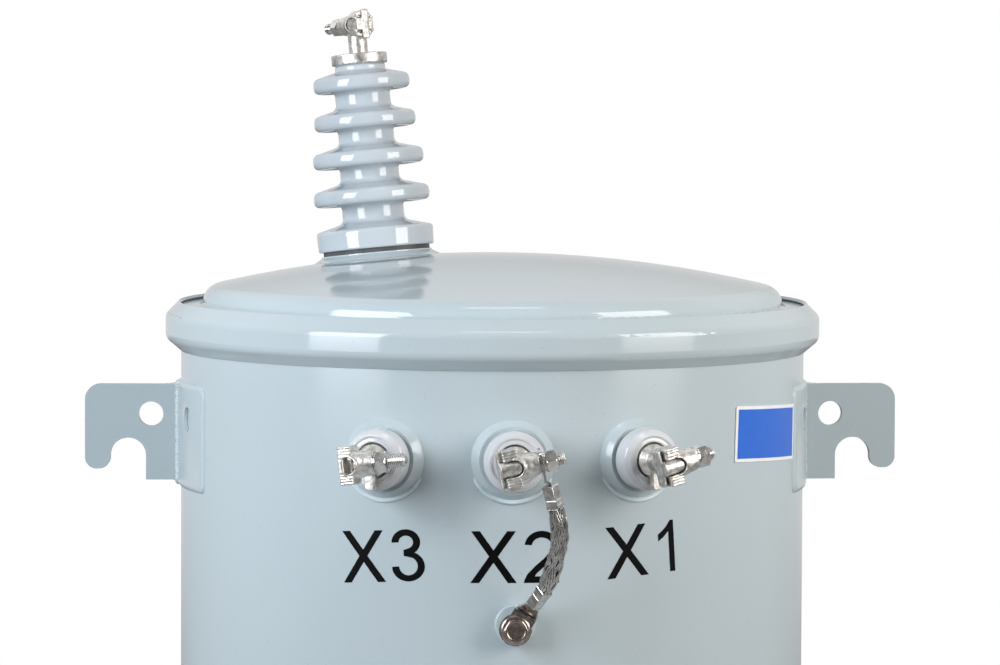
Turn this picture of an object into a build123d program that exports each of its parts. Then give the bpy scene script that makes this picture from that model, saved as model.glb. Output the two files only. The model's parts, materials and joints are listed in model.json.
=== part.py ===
"""Pole mounted single-phase transformer.

Millimetres. The origin is on the tank's axis, at the plane its foot rests on. +Z is up, -Y is the
front, with the three low-voltage bushings, and +Y is the side that hangs on the pole.
Azimuths are in degrees round the tank from the front, positive towards +X.
"""

from build123d import *
import os
from math import atan2, cos, degrees, radians, sin, sqrt, tan

# Clearances and small allowances
WELD_GAP = 0.3  # between a curved face and what is welded or seated on it
SLIP = 0.3  # round a shank in its bore
RIM_CLEARANCE = 4.0  # from the clamp ring's lower edge up to where the wall flares
RIM_GAP = 3.0  # between the wall's rim and the inside of the clamp ring

# Tank
TANK_R = 280.0
TANK_WALL = 3.0
RING_Z = 800.0  # lower edge of the clamp ring, which the fittings below hang from
BOTTOM_RECESS = 12.0
BOTTOM_THICK = 4.0
CORE_GAP = 27.0  # between the wall and the solid inside it
CORE_TOP_DROP = 40.0  # from the clamp ring's lower edge down to the top of the inner solid

# Clamp ring, a folded section
RING_OUT = 14.0  # how far its face stands out from the tank
RING_LOWER_SLOPE = 11.2
RING_FACE = 20.6
RING_UPPER_SLOPE = 11.8
RING_LIP_IN = 11.7  # how far the upper slope comes back in
RING_THICK = 3.0
RING_EDGE_R = 9.0
CLOSURE_AZIMUTH = 140.0
CLOSURE_GAP = 22.0
EAR_OUT = 34.0
EAR_HEIGHT = 26.0
EAR_THICK = 6.0
CLOSURE_BOLT_R = 5.0
CLOSURE_HEX = 17.0
CLOSURE_HEAD = 7.0
CLOSURE_TAIL = 9.0

# Gasket and cover
GASKET_INSET = 4.5  # from the rim's edge in to the gasket
GASKET_THICK = 5.0
GASKET_WIDTH = 8.0
COVER_THICK = 3.0
FLANGE_TOP = 40.0  # top of the cover's flange above the clamp ring's lower edge
STEP_IN = 19.5  # from the tank's outer surface in to the cover's raised part
STEP_FILLET = 4.0
SHOULDER_R = 16.0
DOME_SAG = 30.85  # fall of the dome's curve from its apex out to the raised part's wall
DOME_RISE = 46.3  # apex above the flange

# High-voltage bushing on the cover
HV_X, HV_Y = -100.5, 80.0
HV_SEAT_R = 50.5
HV_SEAT_FLARE = 58.0
HV_SEAT_HEIGHT = 4.0
HV_GASKET_R = 48.5
HV_GASKET_THICK = 4.0
HV_COLLAR_R = 53.4
HV_COLLAR_HEIGHT = 18.0
HV_SHED_R = (53.2, 50.8, 46.7, 44.3)  # from the lowest up
HV_BODY_R = (28.2, 26.9, 25.4, 25.2)  # under each shed, from the lowest up
HV_NECK_R = 21.5
HV_NECK_RING = 1.6  # how far the ring at the neck's foot stands out
HV_FIRST_SHED = 47.7  # from the collar's foot to the middle of the lowest shed
HV_SHED_PITCH = 34.4
HV_SHED_RIM = 13.4  # rim's thickness
HV_SHED_SLOPE = 0.27
HV_RIM_BULGE, HV_RIM_BULGE_R = 1.2, 14.0
HV_RIM_LOW_R, HV_RIM_HIGH_R = 4.8, 5.2
HV_ROOT_LOW_R, HV_ROOT_HIGH_R = 4.5, 6.0  # under a shed, and on top of one
HV_NECK_TOP = 168.7  # from the collar's foot to the top of the porcelain
HV_STEM_R = 22.0
HV_STEM_DEPTH = 45.0
HV_CAP_R = 25.4
HV_CAP_THICK = 9.8
HV_POST_R = 8.6
HV_CLAMP_HEIGHT = 26.4  # from the cap's top to the clamp's axis
HV_CLAMP_SCALE = 0.85
HV_BARREL_EXTRA, HV_SHANK_TAIL, HV_BAR_DEPTH = 4.0, 15.5, 4.0  # before that scale
HV_CLAMP_TURN = 127.0  # direction of the clamp's bolt, from +X towards +Y

# Low-voltage bushings in the wall
LV_AZIMUTHS = {"left": -23.0, "middle": 0.0, "right": 23.0}
LV_DROP = 76.4
BOSS_R = 36.0
BOSS_TOP_R = 29.5
BOSS_HEIGHT = 6.5
LV_GASKET_THICK = 2.0
LV_GASKET_R = 25.0
LV_BODY_R = 26.6
LV_BODY_LENGTH = 19.5
LV_SHOULDER_R = 4.5
LV_FACE_R = 22.2  # outer edge of the face's rim
LV_RIM_WIDTH = 1.6
LV_COVE = 1.2  # how deep the face is coved between its rim and the mouth's lip
LV_LIP_R = 1.3
LV_STEM_R = 17.0
LV_STEM_DEPTH = 17.0
LV_MOUTH_R = 15.5
LV_MOUTH_DEPTH = 8.0
LV_BORE_R = 8.8

# Clamp terminal, for a low-voltage stud
STUD_HEAD_R = 14.2
STUD_NECK_R = 9.5
STUD_HEAD_RISE = 4.6  # how far its shoulder slopes up beside the neck
STUD_STAND = 40.0  # from the porcelain's face to the clamp's axis
FOOT_WIDTH, FOOT_DROP, FOOT_THICK = 9.0, 25.0, 7.0
BARREL_R, BARREL_END_R = 12.6, 9.6
MOUTH_X, BARREL_START, BARREL_END = -12.5, -1.0, 17.5
JAW_REACH = 16.5
JAW_DEPTH = 9.0  # half of a jaw's depth
SLOT_HALF = 7.0
SLOT_END = 3.7
RING_MOUTH_R = 15.0
SHANK_R = 5.0
HEAD_BAR_THICK, HEAD_BAR_HALF, HEAD_BAR_DEPTH = 4.6, 16.0, 6.5
HEAD_GAP = 0.4
KEY_HALF, KEY_DEPTH = 6.5, 11.0
NUT_HEX, NUT_THICK = 17.5, 9.8
WASHER_R, WASHER_THICK = 9.4, 2.4
TILT = {"left": 7.0, "middle": 11.5, "right": 14.0}
SHANK_TAIL = {"left": 15.5, "middle": 6.8, "right": 6.0}
TURNED_SIDE = "left"  # the bolt that is a quarter turn round from the others
DRAW_IN = 7.2  # how far that one's bar goes in between the jaws

# Lifting lugs and their pads
PAD_FRONT, PAD_BACK = 69.0, 113.0
PAD_THICK = 3.2
PAD_HOLE_AZIMUTH, PAD_HOLE_R = 76.7, 11.0
PAD_CORNER_R = 4.0
LUG_TOP_DROP = 31.4
LUG_HEIGHT = 86.1
LUG_AZIMUTH = 91.0  # where the plate meets the tank
LUG_DIRECTION = 93.0
LUG_THICK = 9.0
LUG_OUT = 83.0
LUG_HOLE_R = 11.0
LUG_HOLE_OUT = 23.6
LUG_HOLE_DROP = 26.8
NOTCH_INNER, NOTCH_OUTER = 28.2, 60.0
NOTCH_TOP = 48.4
FINGER_DROP = 76.3
LUG_CORNER_R = 14.0

# Brackets that hang the tank on the pole
BRACKET_DROP = 100.0  # from the clamp ring's lower edge to the upper bracket's middle
BRACKET_SPACING = 285.75
BRACKET_WIDTH = 100.0
BRACKET_HEIGHT = 90.0
BRACKET_OUT = 52.0
BRACKET_PLATE = 8.0
BRACKET_SLOT = 18.0
BRACKET_SLOT_HEIGHT = 52.0
BRACKET_CORNER_R = 8.0

# Tank ground: boss, bolt and braided strap
GROUND_X = 2.0
GROUND_DROP = 217.0
GROUND_BOSS_R = 17.5
GROUND_BOSS_OUT = 7.0
GROUND_BOLT_LOW = 4.0  # how far the bolt sits below the boss's middle
GROUND_BOLT_R = 6.0
GROUND_BOLT_DEPTH = 6.0
GROUND_FLANGE_R, GROUND_FLANGE_THICK = 13.0, 2.6
GROUND_HEX, GROUND_HEAD = 19.0, 7.5
STRAP_PLATE = 3.4
EYE_R = 12.4
EYE_FLAT = 16.0  # from the bolt down to where the lug bends
CRIMP_LENGTH = 20.0
CRIMP_WIDE, CRIMP_DEEP = 15.0, 12.0
BRAID_R = 6.5
BRAID_ROUTE = [  # to the right, out from the tank's surface, up from the clamp ring's lower edge
    (31.2, 68.0, -110.6),
    (35.2, 65.0, -128.5),
    (34.2, 56.0, -148.5),
    (31.2, 44.0, -167.5),
    (25.2, 33.0, -184.0),
]

# Label
LABEL_FROM, LABEL_TO = 45.3, 68.1
LABEL_TOP_DROP, LABEL_HEIGHT = 39.2, 48.8
LABEL_TURN = -2.5  # it is stuck on a little askew
LABEL_CORNER_R = 1.5
LABEL_THICK = 0.8

CORE_R = TANK_R - TANK_WALL - CORE_GAP
RIM_R = TANK_R + RING_OUT - RING_THICK - RIM_GAP
STEP_R = TANK_R - STEP_IN
DOME_R = (STEP_R**2 + DOME_SAG**2) / (2 * DOME_SAG)
RIM_TOP = RING_Z + FLANGE_TOP - COVER_THICK - GASKET_THICK
RING_FACE_TOP = RING_LOWER_SLOPE + RING_FACE
RING_TOP = RING_FACE_TOP + RING_UPPER_SLOPE
FACE_Z = BOSS_HEIGHT + LV_GASKET_THICK + LV_BODY_LENGTH  # porcelain's face from the tank
LV_Z = RING_Z - LV_DROP
CLAMP_OUT = FACE_Z + STUD_STAND


def polygon(*points):
    return make_face(Polyline(*points, close=True))


def rounded(*corners):
    """A face from its corners in order, each (x, y, radius) with 0 for a sharp one."""
    points = [Vector(x, y) for x, y, _ in corners]
    bends = []
    for i, (_, _, radius) in enumerate(corners):
        here = points[i]
        back = (points[i - 1] - here).normalized()
        ahead = (points[(i + 1) % len(points)] - here).normalized()
        half = radians(back.get_angle(ahead)) / 2
        reach = radius / tan(half)
        middle = here + (back + ahead).normalized() * (radius / sin(half) - radius)
        bends.append((here + back * reach, middle, here + ahead * reach))
    edges = []
    for i, (start, middle, end) in enumerate(bends):
        if corners[i][2]:
            edges.append(ThreePointArc(start, middle, end))
        edges.append(Line(end, bends[(i + 1) % len(bends)][0]))
    return make_face(edges)


def revolved(section):
    """Turns a section drawn as (radius, height) round the Z axis."""
    return revolve(Plane.XZ * section, Axis.Z)


def disc(radius, low, high):
    return Pos(0, 0, low) * Cylinder(
        radius, high - low, align=(Align.CENTER, Align.CENTER, Align.MIN)
    )


def tube(outer, inner, low, high):
    return disc(outer, low, high) - disc(inner, low, high)


def rod(radius, start, stop):
    """A round bar along X."""
    return Pos(start, 0, 0) * Rot(0, 90, 0) * disc(radius, 0, stop - start)


def hex_rod(across_flats, start, stop):
    """A hexagonal bar along X."""
    face = RegularPolygon(across_flats / 2, 6, major_radius=False)
    return Pos(start, 0, 0) * Rot(0, 90, 0) * extrude(face, stop - start)


def block(x, y, z):
    """A box from its limits on each axis."""
    size = [b - a for a, b in (x, y, z)]
    return Pos(*[(a + b) / 2 for a, b in (x, y, z)]) * Box(*size)


def wall_plane(azimuth, height, radius=TANK_R):
    """A frame on the wall: X to the right as seen from outside, Y up, Z outward."""
    a = radians(azimuth)
    return Plane(
        origin=(radius * sin(a), -radius * cos(a), height),
        x_dir=(cos(a), sin(a), 0),
        z_dir=(sin(a), -cos(a), 0),
    )


# ---------------------------------------------------------------- tank


def lv_wall_holes():
    holes = []
    for azimuth in LV_AZIMUTHS.values():
        frame = wall_plane(azimuth, LV_Z)
        holes.append(frame * disc(LV_STEM_R + SLIP, -LV_STEM_DEPTH, BOSS_HEIGHT + 1))
    return holes


def wall_boss():
    """The drawn seat round a low-voltage bushing, flared into the wall."""
    flare = ThreePointArc(
        (BOSS_R, -TANK_WALL / 2), (BOSS_R - 3.5, 2.0), (BOSS_TOP_R, BOSS_HEIGHT)
    )
    sides = Polyline(
        (BOSS_TOP_R, BOSS_HEIGHT), (0, BOSS_HEIGHT), (0, -TANK_WALL), (BOSS_R, -TANK_WALL),
        (BOSS_R, -TANK_WALL / 2),
    )
    return revolved(make_face(flare + sides))


def tank_wall():
    """Rolled wall with its flared rim and the three drawn bosses."""
    rim_foot = RING_Z + RIM_CLEARANCE
    rim_corner = rim_foot + RIM_R - TANK_R
    wall = revolved(
        polygon(
            (TANK_R - TANK_WALL, 0), (TANK_R, 0), (TANK_R, rim_foot), (RIM_R, rim_corner),
            (RIM_R, RIM_TOP), (TANK_R - TANK_WALL, RIM_TOP),
        )
    )
    for azimuth in LV_AZIMUTHS.values():
        wall += wall_plane(azimuth, LV_Z) * wall_boss()
    wall -= disc(TANK_R - TANK_WALL, 0, RIM_TOP)
    for hole in lv_wall_holes():
        wall -= hole
    return wall


def tank_bottom():
    return disc(
        TANK_R - TANK_WALL - WELD_GAP, BOTTOM_RECESS, BOTTOM_RECESS + BOTTOM_THICK
    )


def core_and_oil():
    return disc(CORE_R, BOTTOM_RECESS + BOTTOM_THICK, RING_Z - CORE_TOP_DROP)


# ---------------------------------------------------------------- clamp ring


def ring_section():
    """The folded strip: outer and inner outlines, a strip's thickness apart."""
    foot, face = TANK_R + 1.0, TANK_R + RING_OUT
    outer = [
        (foot, RING_Z),
        (face, RING_Z + RING_LOWER_SLOPE),
        (face, RING_Z + RING_FACE_TOP),
        (face - RING_LIP_IN, RING_Z + RING_TOP),
    ]
    edges = Polyline(*outer)
    strip = make_face(
        edges
        + Polyline(
            outer[-1],
            (face - RING_LIP_IN - 2.25, RING_Z + RING_TOP - 1.99),
            (face - RING_THICK, RING_Z + RING_FACE_TOP - 1.3),
            (face - RING_THICK, RING_Z + RING_LOWER_SLOPE + 1.3),
            (foot - 0.6, RING_Z + 3.6),
            (foot, RING_Z),
        )
    )
    corners = strip.vertices().filter_by(lambda v: abs(v.X - face) < 0.01)
    return fillet(corners, RING_EDGE_R)


def closure_plane():
    return wall_plane(CLOSURE_AZIMUTH, RING_Z + RING_TOP / 2, TANK_R + RING_OUT)


def clamp_ring():
    """Split ring with a bolting ear on each end."""
    ring = revolved(ring_section())
    frame = closure_plane()
    low, high = -EAR_HEIGHT / 2, EAR_HEIGHT / 2
    for side in (-1, 1):
        near, far = CLOSURE_GAP / 2, CLOSURE_GAP / 2 + EAR_THICK
        x = (near, far) if side > 0 else (-far, -near)
        ear = block(x, (low, high), (-RING_THICK, EAR_OUT))
        corners = ear.edges().filter_by(Axis.X).group_by(Axis.Z)[-1]
        ring += frame * fillet(corners, EAR_THICK)
    gap = block(
        (-CLOSURE_GAP / 2, CLOSURE_GAP / 2), (-RING_TOP, RING_TOP), (-RING_OUT * 2, EAR_OUT * 2)
    )
    ring -= frame * gap
    ring -= frame * Pos(0, 0, EAR_OUT * 0.6) * rod(
        CLOSURE_BOLT_R + SLIP, -CLOSURE_GAP, CLOSURE_GAP
    )
    return ring


def closure_bolt():
    grip = CLOSURE_GAP / 2 + EAR_THICK
    end = grip + CLOSURE_HEAD + CLOSURE_TAIL
    bolt = rod(CLOSURE_BOLT_R, -grip, end) + hex_rod(CLOSURE_HEX, -grip - CLOSURE_HEAD, -grip)
    return closure_plane() * Pos(0, 0, EAR_OUT * 0.6) * bolt


def closure_nut():
    grip = CLOSURE_GAP / 2 + EAR_THICK
    nut = hex_rod(CLOSURE_HEX, grip, grip + CLOSURE_HEAD)
    nut -= rod(CLOSURE_BOLT_R + SLIP, grip, grip + CLOSURE_HEAD)
    return closure_plane() * Pos(0, 0, EAR_OUT * 0.6) * nut


# ---------------------------------------------------------------- cover


def dome_height(radius, sphere, apex):
    return apex - sphere + sqrt(sphere**2 - radius**2)


def crown(wall_r, shoulder, sphere, apex, floor):
    """A crowned drum: a vertical wall, a rounded shoulder and a spherical top."""
    centre_r = wall_r - shoulder
    centre_z = apex - sphere + sqrt((sphere - shoulder) ** 2 - centre_r**2)
    grow = sphere / (sphere - shoulder)
    meet = (centre_r * grow, apex - sphere + (centre_z - apex + sphere) * grow)
    middle_r = centre_r / 2
    top = ThreePointArc(
        (0, apex), (middle_r, dome_height(middle_r, sphere, apex)), meet
    )
    turn = shoulder / sqrt(2)
    bend = ThreePointArc(meet, (centre_r + turn, centre_z + turn), (wall_r, centre_z))
    sides = Polyline((wall_r, centre_z), (wall_r, floor), (0, floor), (0, apex))
    return revolved(make_face(top + bend + sides))


def hv_plane():
    """A frame on the dome under the high-voltage bushing, with Z along the bushing."""
    apex = RING_Z + FLANGE_TOP + DOME_RISE
    height = dome_height(sqrt(HV_X**2 + HV_Y**2), DOME_R, apex)
    normal = (HV_X, HV_Y, height - apex + DOME_R)
    return Plane(origin=(HV_X, HV_Y, height), x_dir=(1, 0, -HV_X / normal[2]), z_dir=normal)


def hv_seat():
    """The drawn seat under the high-voltage bushing, flared into the dome."""
    flare = ThreePointArc(
        (HV_SEAT_FLARE, -COVER_THICK / 2), (HV_SEAT_R + 2.6, 1.4),
        (HV_SEAT_R, HV_SEAT_HEIGHT - 1.0),
    )
    sides = Polyline(
        (HV_SEAT_R, HV_SEAT_HEIGHT - 1.0), (HV_SEAT_R, HV_SEAT_HEIGHT), (0, HV_SEAT_HEIGHT),
        (0, -COVER_THICK), (HV_SEAT_FLARE, -COVER_THICK), (HV_SEAT_FLARE, -COVER_THICK / 2),
    )
    return revolved(make_face(flare + sides))


def cover():
    flange_z = RING_Z + FLANGE_TOP
    flange_r = TANK_R + RING_OUT - RING_LIP_IN - 1.0
    apex = flange_z + DOME_RISE
    shell = crown(STEP_R, SHOULDER_R, DOME_R, apex, flange_z - COVER_THICK)
    shell += disc(flange_r, flange_z - COVER_THICK, flange_z)
    toe = STEP_R + STEP_FILLET
    inset = STEP_FILLET * (1 - 1 / sqrt(2))
    curve = ThreePointArc(
        (toe, flange_z), (STEP_R + inset, flange_z + inset), (STEP_R, flange_z + STEP_FILLET)
    )
    corner = Polyline(
        (STEP_R, flange_z + STEP_FILLET), (STEP_R - 1, flange_z + STEP_FILLET),
        (STEP_R - 1, flange_z - 1), (toe, flange_z - 1), (toe, flange_z),
    )
    shell += revolved(make_face(curve + corner))
    shell += hv_plane() * hv_seat()
    shell -= crown(
        STEP_R - COVER_THICK, SHOULDER_R - COVER_THICK, DOME_R - COVER_THICK,
        apex - COVER_THICK, flange_z - COVER_THICK,
    )
    shell -= hv_plane() * disc(HV_STEM_R + SLIP * 2, -HV_STEM_DEPTH, HV_SEAT_HEIGHT)
    return shell


def cover_gasket():
    outer = RIM_R - GASKET_INSET
    return tube(outer, outer - GASKET_WIDTH, RIM_TOP, RIM_TOP + GASKET_THICK)


# ---------------------------------------------------------------- high-voltage bushing


def hv_outline():
    """Outline of the collar, sheds and neck, as (radius, height, corner radius)."""
    foot = HV_SEAT_HEIGHT + HV_GASKET_THICK
    collar_top = foot + HV_COLLAR_HEIGHT
    rise = (HV_COLLAR_R - HV_BODY_R[0]) * HV_SHED_SLOPE
    points = [
        (0, foot, 0), (HV_COLLAR_R - 0.8, foot, 2.0), (HV_COLLAR_R, collar_top, 3.5),
        (HV_BODY_R[0], collar_top + rise, HV_ROOT_HIGH_R),
    ]
    uppers = HV_BODY_R[1:] + (HV_NECK_R + HV_NECK_RING,)
    middle = foot + HV_FIRST_SHED
    for radius, low_r, high_r in zip(HV_SHED_R, HV_BODY_R, uppers):
        low, high = middle - HV_SHED_RIM / 2, middle + HV_SHED_RIM / 2
        shoulder = radius - HV_RIM_BULGE
        top = high + (shoulder - high_r) * HV_SHED_SLOPE
        points += [
            (low_r, low + 1, HV_ROOT_LOW_R), (shoulder, low, HV_RIM_LOW_R),
            (radius, middle, HV_RIM_BULGE_R), (shoulder, high, HV_RIM_HIGH_R),
            (high_r, top, HV_ROOT_HIGH_R if high_r in HV_BODY_R else HV_NECK_RING),
        ]
        middle += HV_SHED_PITCH
    ring = top + HV_NECK_RING * 2.5
    points += [
        (HV_NECK_R + HV_NECK_RING, ring, HV_NECK_RING / 2),
        (HV_NECK_R, ring + HV_NECK_RING, HV_NECK_RING / 2),
        (HV_NECK_R, foot + HV_NECK_TOP, 0), (0, foot + HV_NECK_TOP, 0),
    ]
    return points


def hv_porcelain():
    """Collar, four sheds on a tapering body, the neck, and the stem through the cover."""
    foot = HV_SEAT_HEIGHT + HV_GASKET_THICK
    body = revolved(rounded(*hv_outline()))
    body += disc(HV_STEM_R, -HV_STEM_DEPTH, foot)
    body -= disc(HV_POST_R + SLIP, foot + HV_NECK_TOP - HV_CAP_THICK, foot + HV_NECK_TOP)
    return hv_plane() * body


def hv_gasket():
    ring = tube(
        HV_GASKET_R, HV_STEM_R + 1.0, HV_SEAT_HEIGHT, HV_SEAT_HEIGHT + HV_GASKET_THICK
    )
    return hv_plane() * ring


def hv_cap():
    """The cast cap on the porcelain's neck, bored for the terminal's post."""
    low = HV_SEAT_HEIGHT + HV_GASKET_THICK + HV_NECK_TOP
    cap = disc(HV_CAP_R, low, low + HV_CAP_THICK)
    cap = fillet(cap.edges().filter_by(GeomType.CIRCLE), 1.2)
    cap -= disc(HV_POST_R + SLIP, low, low + HV_CAP_THICK)
    return hv_plane() * cap


def hv_clamp_frame():
    """A frame on the clamp's axis, with X along its bolt and Z along the bushing."""
    height = (
        HV_SEAT_HEIGHT + HV_GASKET_THICK + HV_NECK_TOP + HV_CAP_THICK + HV_CLAMP_HEIGHT
    )
    return hv_plane() * Pos(0, 0, height) * Rot(0, 0, HV_CLAMP_TURN)


def hv_clamp():
    """Post and clamp body; the jaws stand above and below the bolt."""
    head = clamp_head(HV_BARREL_EXTRA, round_mouth=True)
    head = Rot(90, 0, 0) * scale(head, HV_CLAMP_SCALE)
    post = disc(HV_POST_R, -HV_CLAMP_HEIGHT - HV_CAP_THICK, -BARREL_END_R * HV_CLAMP_SCALE)
    post -= rod(SLOT_HALF * HV_CLAMP_SCALE, -BARREL_END, BARREL_END)
    return hv_clamp_frame() * (head + post)


def hv_bolt():
    bolt = clamp_bolt(HV_SHANK_TAIL, HV_BARREL_EXTRA, bar_depth=HV_BAR_DEPTH)
    bolt = scale(bolt, HV_CLAMP_SCALE)
    return hv_clamp_frame() * Rot(90, 0, 0) * bolt


def hv_nut():
    nut = scale(clamp_nut(HV_BARREL_EXTRA), HV_CLAMP_SCALE)
    return hv_clamp_frame() * Rot(90, 0, 0) * nut


# ---------------------------------------------------------------- clamp terminal


def clamp_slot(depth, height):
    """The open slot between the jaws, as deep below the bolt's axis as asked."""
    middle = SLOT_END - SLOT_HALF
    slot = block((MOUTH_X * 2, middle), (-SLOT_HALF, SLOT_HALF), (-depth, height))
    return slot + Pos(middle, 0, 0) * disc(SLOT_HALF, -depth, height)


def clamp_head(extra=0, round_mouth=False):
    """Clamp body, with its bolt's axis along X, mouth at -X and jaws at +Y and -Y."""
    end = BARREL_END + extra
    barrel = Rot(0, 90, 0) * revolved(
        polygon(
            (0, BARREL_START), (BARREL_R, BARREL_START), (BARREL_END_R, end), (0, end),
        )
    )
    if round_mouth:
        barrel += rod(RING_MOUTH_R, MOUTH_X, BARREL_START)
    else:
        for side in (-1, 1):
            y = (SLOT_HALF - 1, JAW_REACH) if side > 0 else (-JAW_REACH, 1 - SLOT_HALF)
            jaw = block((MOUTH_X, BARREL_START + 1), y, (-JAW_DEPTH, JAW_DEPTH))
            barrel += fillet(jaw.edges(), 0.8)
    slot = clamp_slot(2 * RING_MOUTH_R, 2 * RING_MOUTH_R)
    return barrel - slot - rod(SHANK_R + SLIP, MOUTH_X, end + 1)


def clamp_bolt(tail, grip=0, turned=False, bar_depth=HEAD_BAR_DEPTH):
    """T-headed bolt: a bar across the mouth, a key in the slot and a threaded shank.

    Turned a quarter round, its bar goes in between the jaws, and its key is square.
    """
    shift = DRAW_IN if turned else 0
    bar_x = MOUTH_X - HEAD_GAP - HEAD_BAR_THICK + shift
    bar = block(
        (bar_x, bar_x + HEAD_BAR_THICK), (-HEAD_BAR_HALF, HEAD_BAR_HALF),
        (-bar_depth, bar_depth),
    )
    head = fillet(bar.edges(), 1.4)
    middle = SLOT_END - SLOT_HALF - HEAD_GAP * 2
    depth = KEY_HALF if turned else KEY_DEPTH
    key_end = middle + KEY_HALF / 2 if turned else middle
    head += block((bar_x + 2, key_end), (-KEY_HALF, KEY_HALF), (-depth, depth))
    if not turned:
        head += Pos(middle, 0, 0) * disc(KEY_HALF, -depth, depth)
    end = BARREL_END + WASHER_THICK + NUT_THICK + tail + grip
    bolt = head + rod(SHANK_R, middle, end)
    return Rot(90, 0, 0) * bolt if turned else bolt


def clamp_nut(grip=0):
    """Washer and hexagon nut, as one piece on the clamp's flat end."""
    start = BARREL_END + grip
    nut = rod(WASHER_R, start, start + WASHER_THICK)
    nut += hex_rod(NUT_HEX, start, start + WASHER_THICK + NUT_THICK)
    return nut - rod(SHANK_R + SLIP, start, start + WASHER_THICK + NUT_THICK)


# ---------------------------------------------------------------- low-voltage bushings


def lv_gasket():
    low = BOSS_HEIGHT
    return tube(LV_GASKET_R, LV_STEM_R + SLIP, low, low + LV_GASKET_THICK)


def lv_porcelain():
    """Round-shouldered body with a coved face and a recessed mouth, and the stem behind."""
    low = BOSS_HEIGHT + LV_GASKET_THICK
    fall = LV_BODY_R - LV_FACE_R
    body = revolved(
        rounded(
            (0, low, 0), (LV_BODY_R, low, 0), (LV_BODY_R, FACE_Z - fall, LV_SHOULDER_R),
            (LV_FACE_R, FACE_Z, 1.0), (LV_FACE_R - LV_RIM_WIDTH, FACE_Z, 0.6),
            (LV_FACE_R - LV_RIM_WIDTH - LV_COVE, FACE_Z - LV_COVE, 0.8),
            (LV_MOUTH_R, FACE_Z - LV_COVE / 2, LV_LIP_R),
            (LV_MOUTH_R, FACE_Z - LV_MOUTH_DEPTH, 0), (0, FACE_Z - LV_MOUTH_DEPTH, 0),
        )
    )
    body += disc(LV_STEM_R, -LV_STEM_DEPTH, low)
    return body - disc(LV_BORE_R, -LV_STEM_DEPTH, FACE_Z)


def lv_stud(side):
    """Stud head in the porcelain's mouth, its foot, and the clamp that stands on it."""
    low = FACE_Z - LV_MOUTH_DEPTH
    stud = revolved(
        rounded(
            (0, low, 0), (STUD_HEAD_R, low, 0), (STUD_HEAD_R, FACE_Z, 1.0),
            (STUD_NECK_R, FACE_Z + STUD_HEAD_RISE, 1.0), (0, FACE_Z + STUD_HEAD_RISE, 0),
        )
    )
    stud += disc(LV_BORE_R - SLIP, -LV_STEM_DEPTH, low)
    foot = block(
        (-FOOT_WIDTH / 2, FOOT_WIDTH / 2), (-FOOT_DROP, 0), (FACE_Z + 0.5, FACE_Z + FOOT_THICK)
    )
    stud += fillet(foot.edges().filter_by(Axis.Z).group_by(Axis.Y)[0], FOOT_WIDTH / 3)
    neck = disc(STUD_NECK_R, FACE_Z, CLAMP_OUT)
    neck -= Pos(0, 0, CLAMP_OUT) * Rot(0, 0, TILT[side]) * rod(
        STUD_NECK_R, MOUTH_X * 2, BARREL_END * 2
    )
    head = Pos(0, 0, CLAMP_OUT) * Rot(0, 0, TILT[side]) * clamp_head()
    reach = HEAD_BAR_HALF if side == TURNED_SIDE else KEY_DEPTH
    clearance = Pos(0, 0, CLAMP_OUT) * Rot(0, 0, TILT[side]) * clamp_slot(reach + SLIP, reach)
    return stud + (neck - clearance) + head


# ---------------------------------------------------------------- lifting lugs


def lug_pad(side):
    """Curved doubler plate on the wall, with rounded corners and one hole."""
    top, low = RING_Z - LUG_TOP_DROP, RING_Z - LUG_TOP_DROP - LUG_HEIGHT
    inner, outer = TANK_R + WELD_GAP, TANK_R + PAD_THICK
    half = radians(PAD_BACK - PAD_FRONT) / 2 * outer
    middle = side * (PAD_FRONT + PAD_BACK) / 2
    frame = wall_plane(middle, (top + low) / 2, 0)
    outline = RectangleRounded(2 * outer * sin(half / outer), LUG_HEIGHT, PAD_CORNER_R)
    pad = tube(outer, inner, low, top) & (frame * extrude(outline, TANK_R * 2))
    hole = wall_plane(side * PAD_HOLE_AZIMUTH, top - LUG_HOLE_DROP)
    return pad - hole * disc(PAD_HOLE_R, -PAD_THICK, PAD_THICK * 4)


def lug_frame(side):
    """A frame where a lug meets its pad: X outward along the plate, Y up from its top."""
    a, d = radians(side * LUG_AZIMUTH), radians(side * LUG_DIRECTION)
    radius = TANK_R + PAD_THICK
    out = (sin(d), -cos(d), 0)
    return Plane(
        origin=(radius * sin(a), -radius * cos(a), RING_Z - LUG_TOP_DROP),
        x_dir=out,
        z_dir=(out[1], -out[0], 0),
    )


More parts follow.
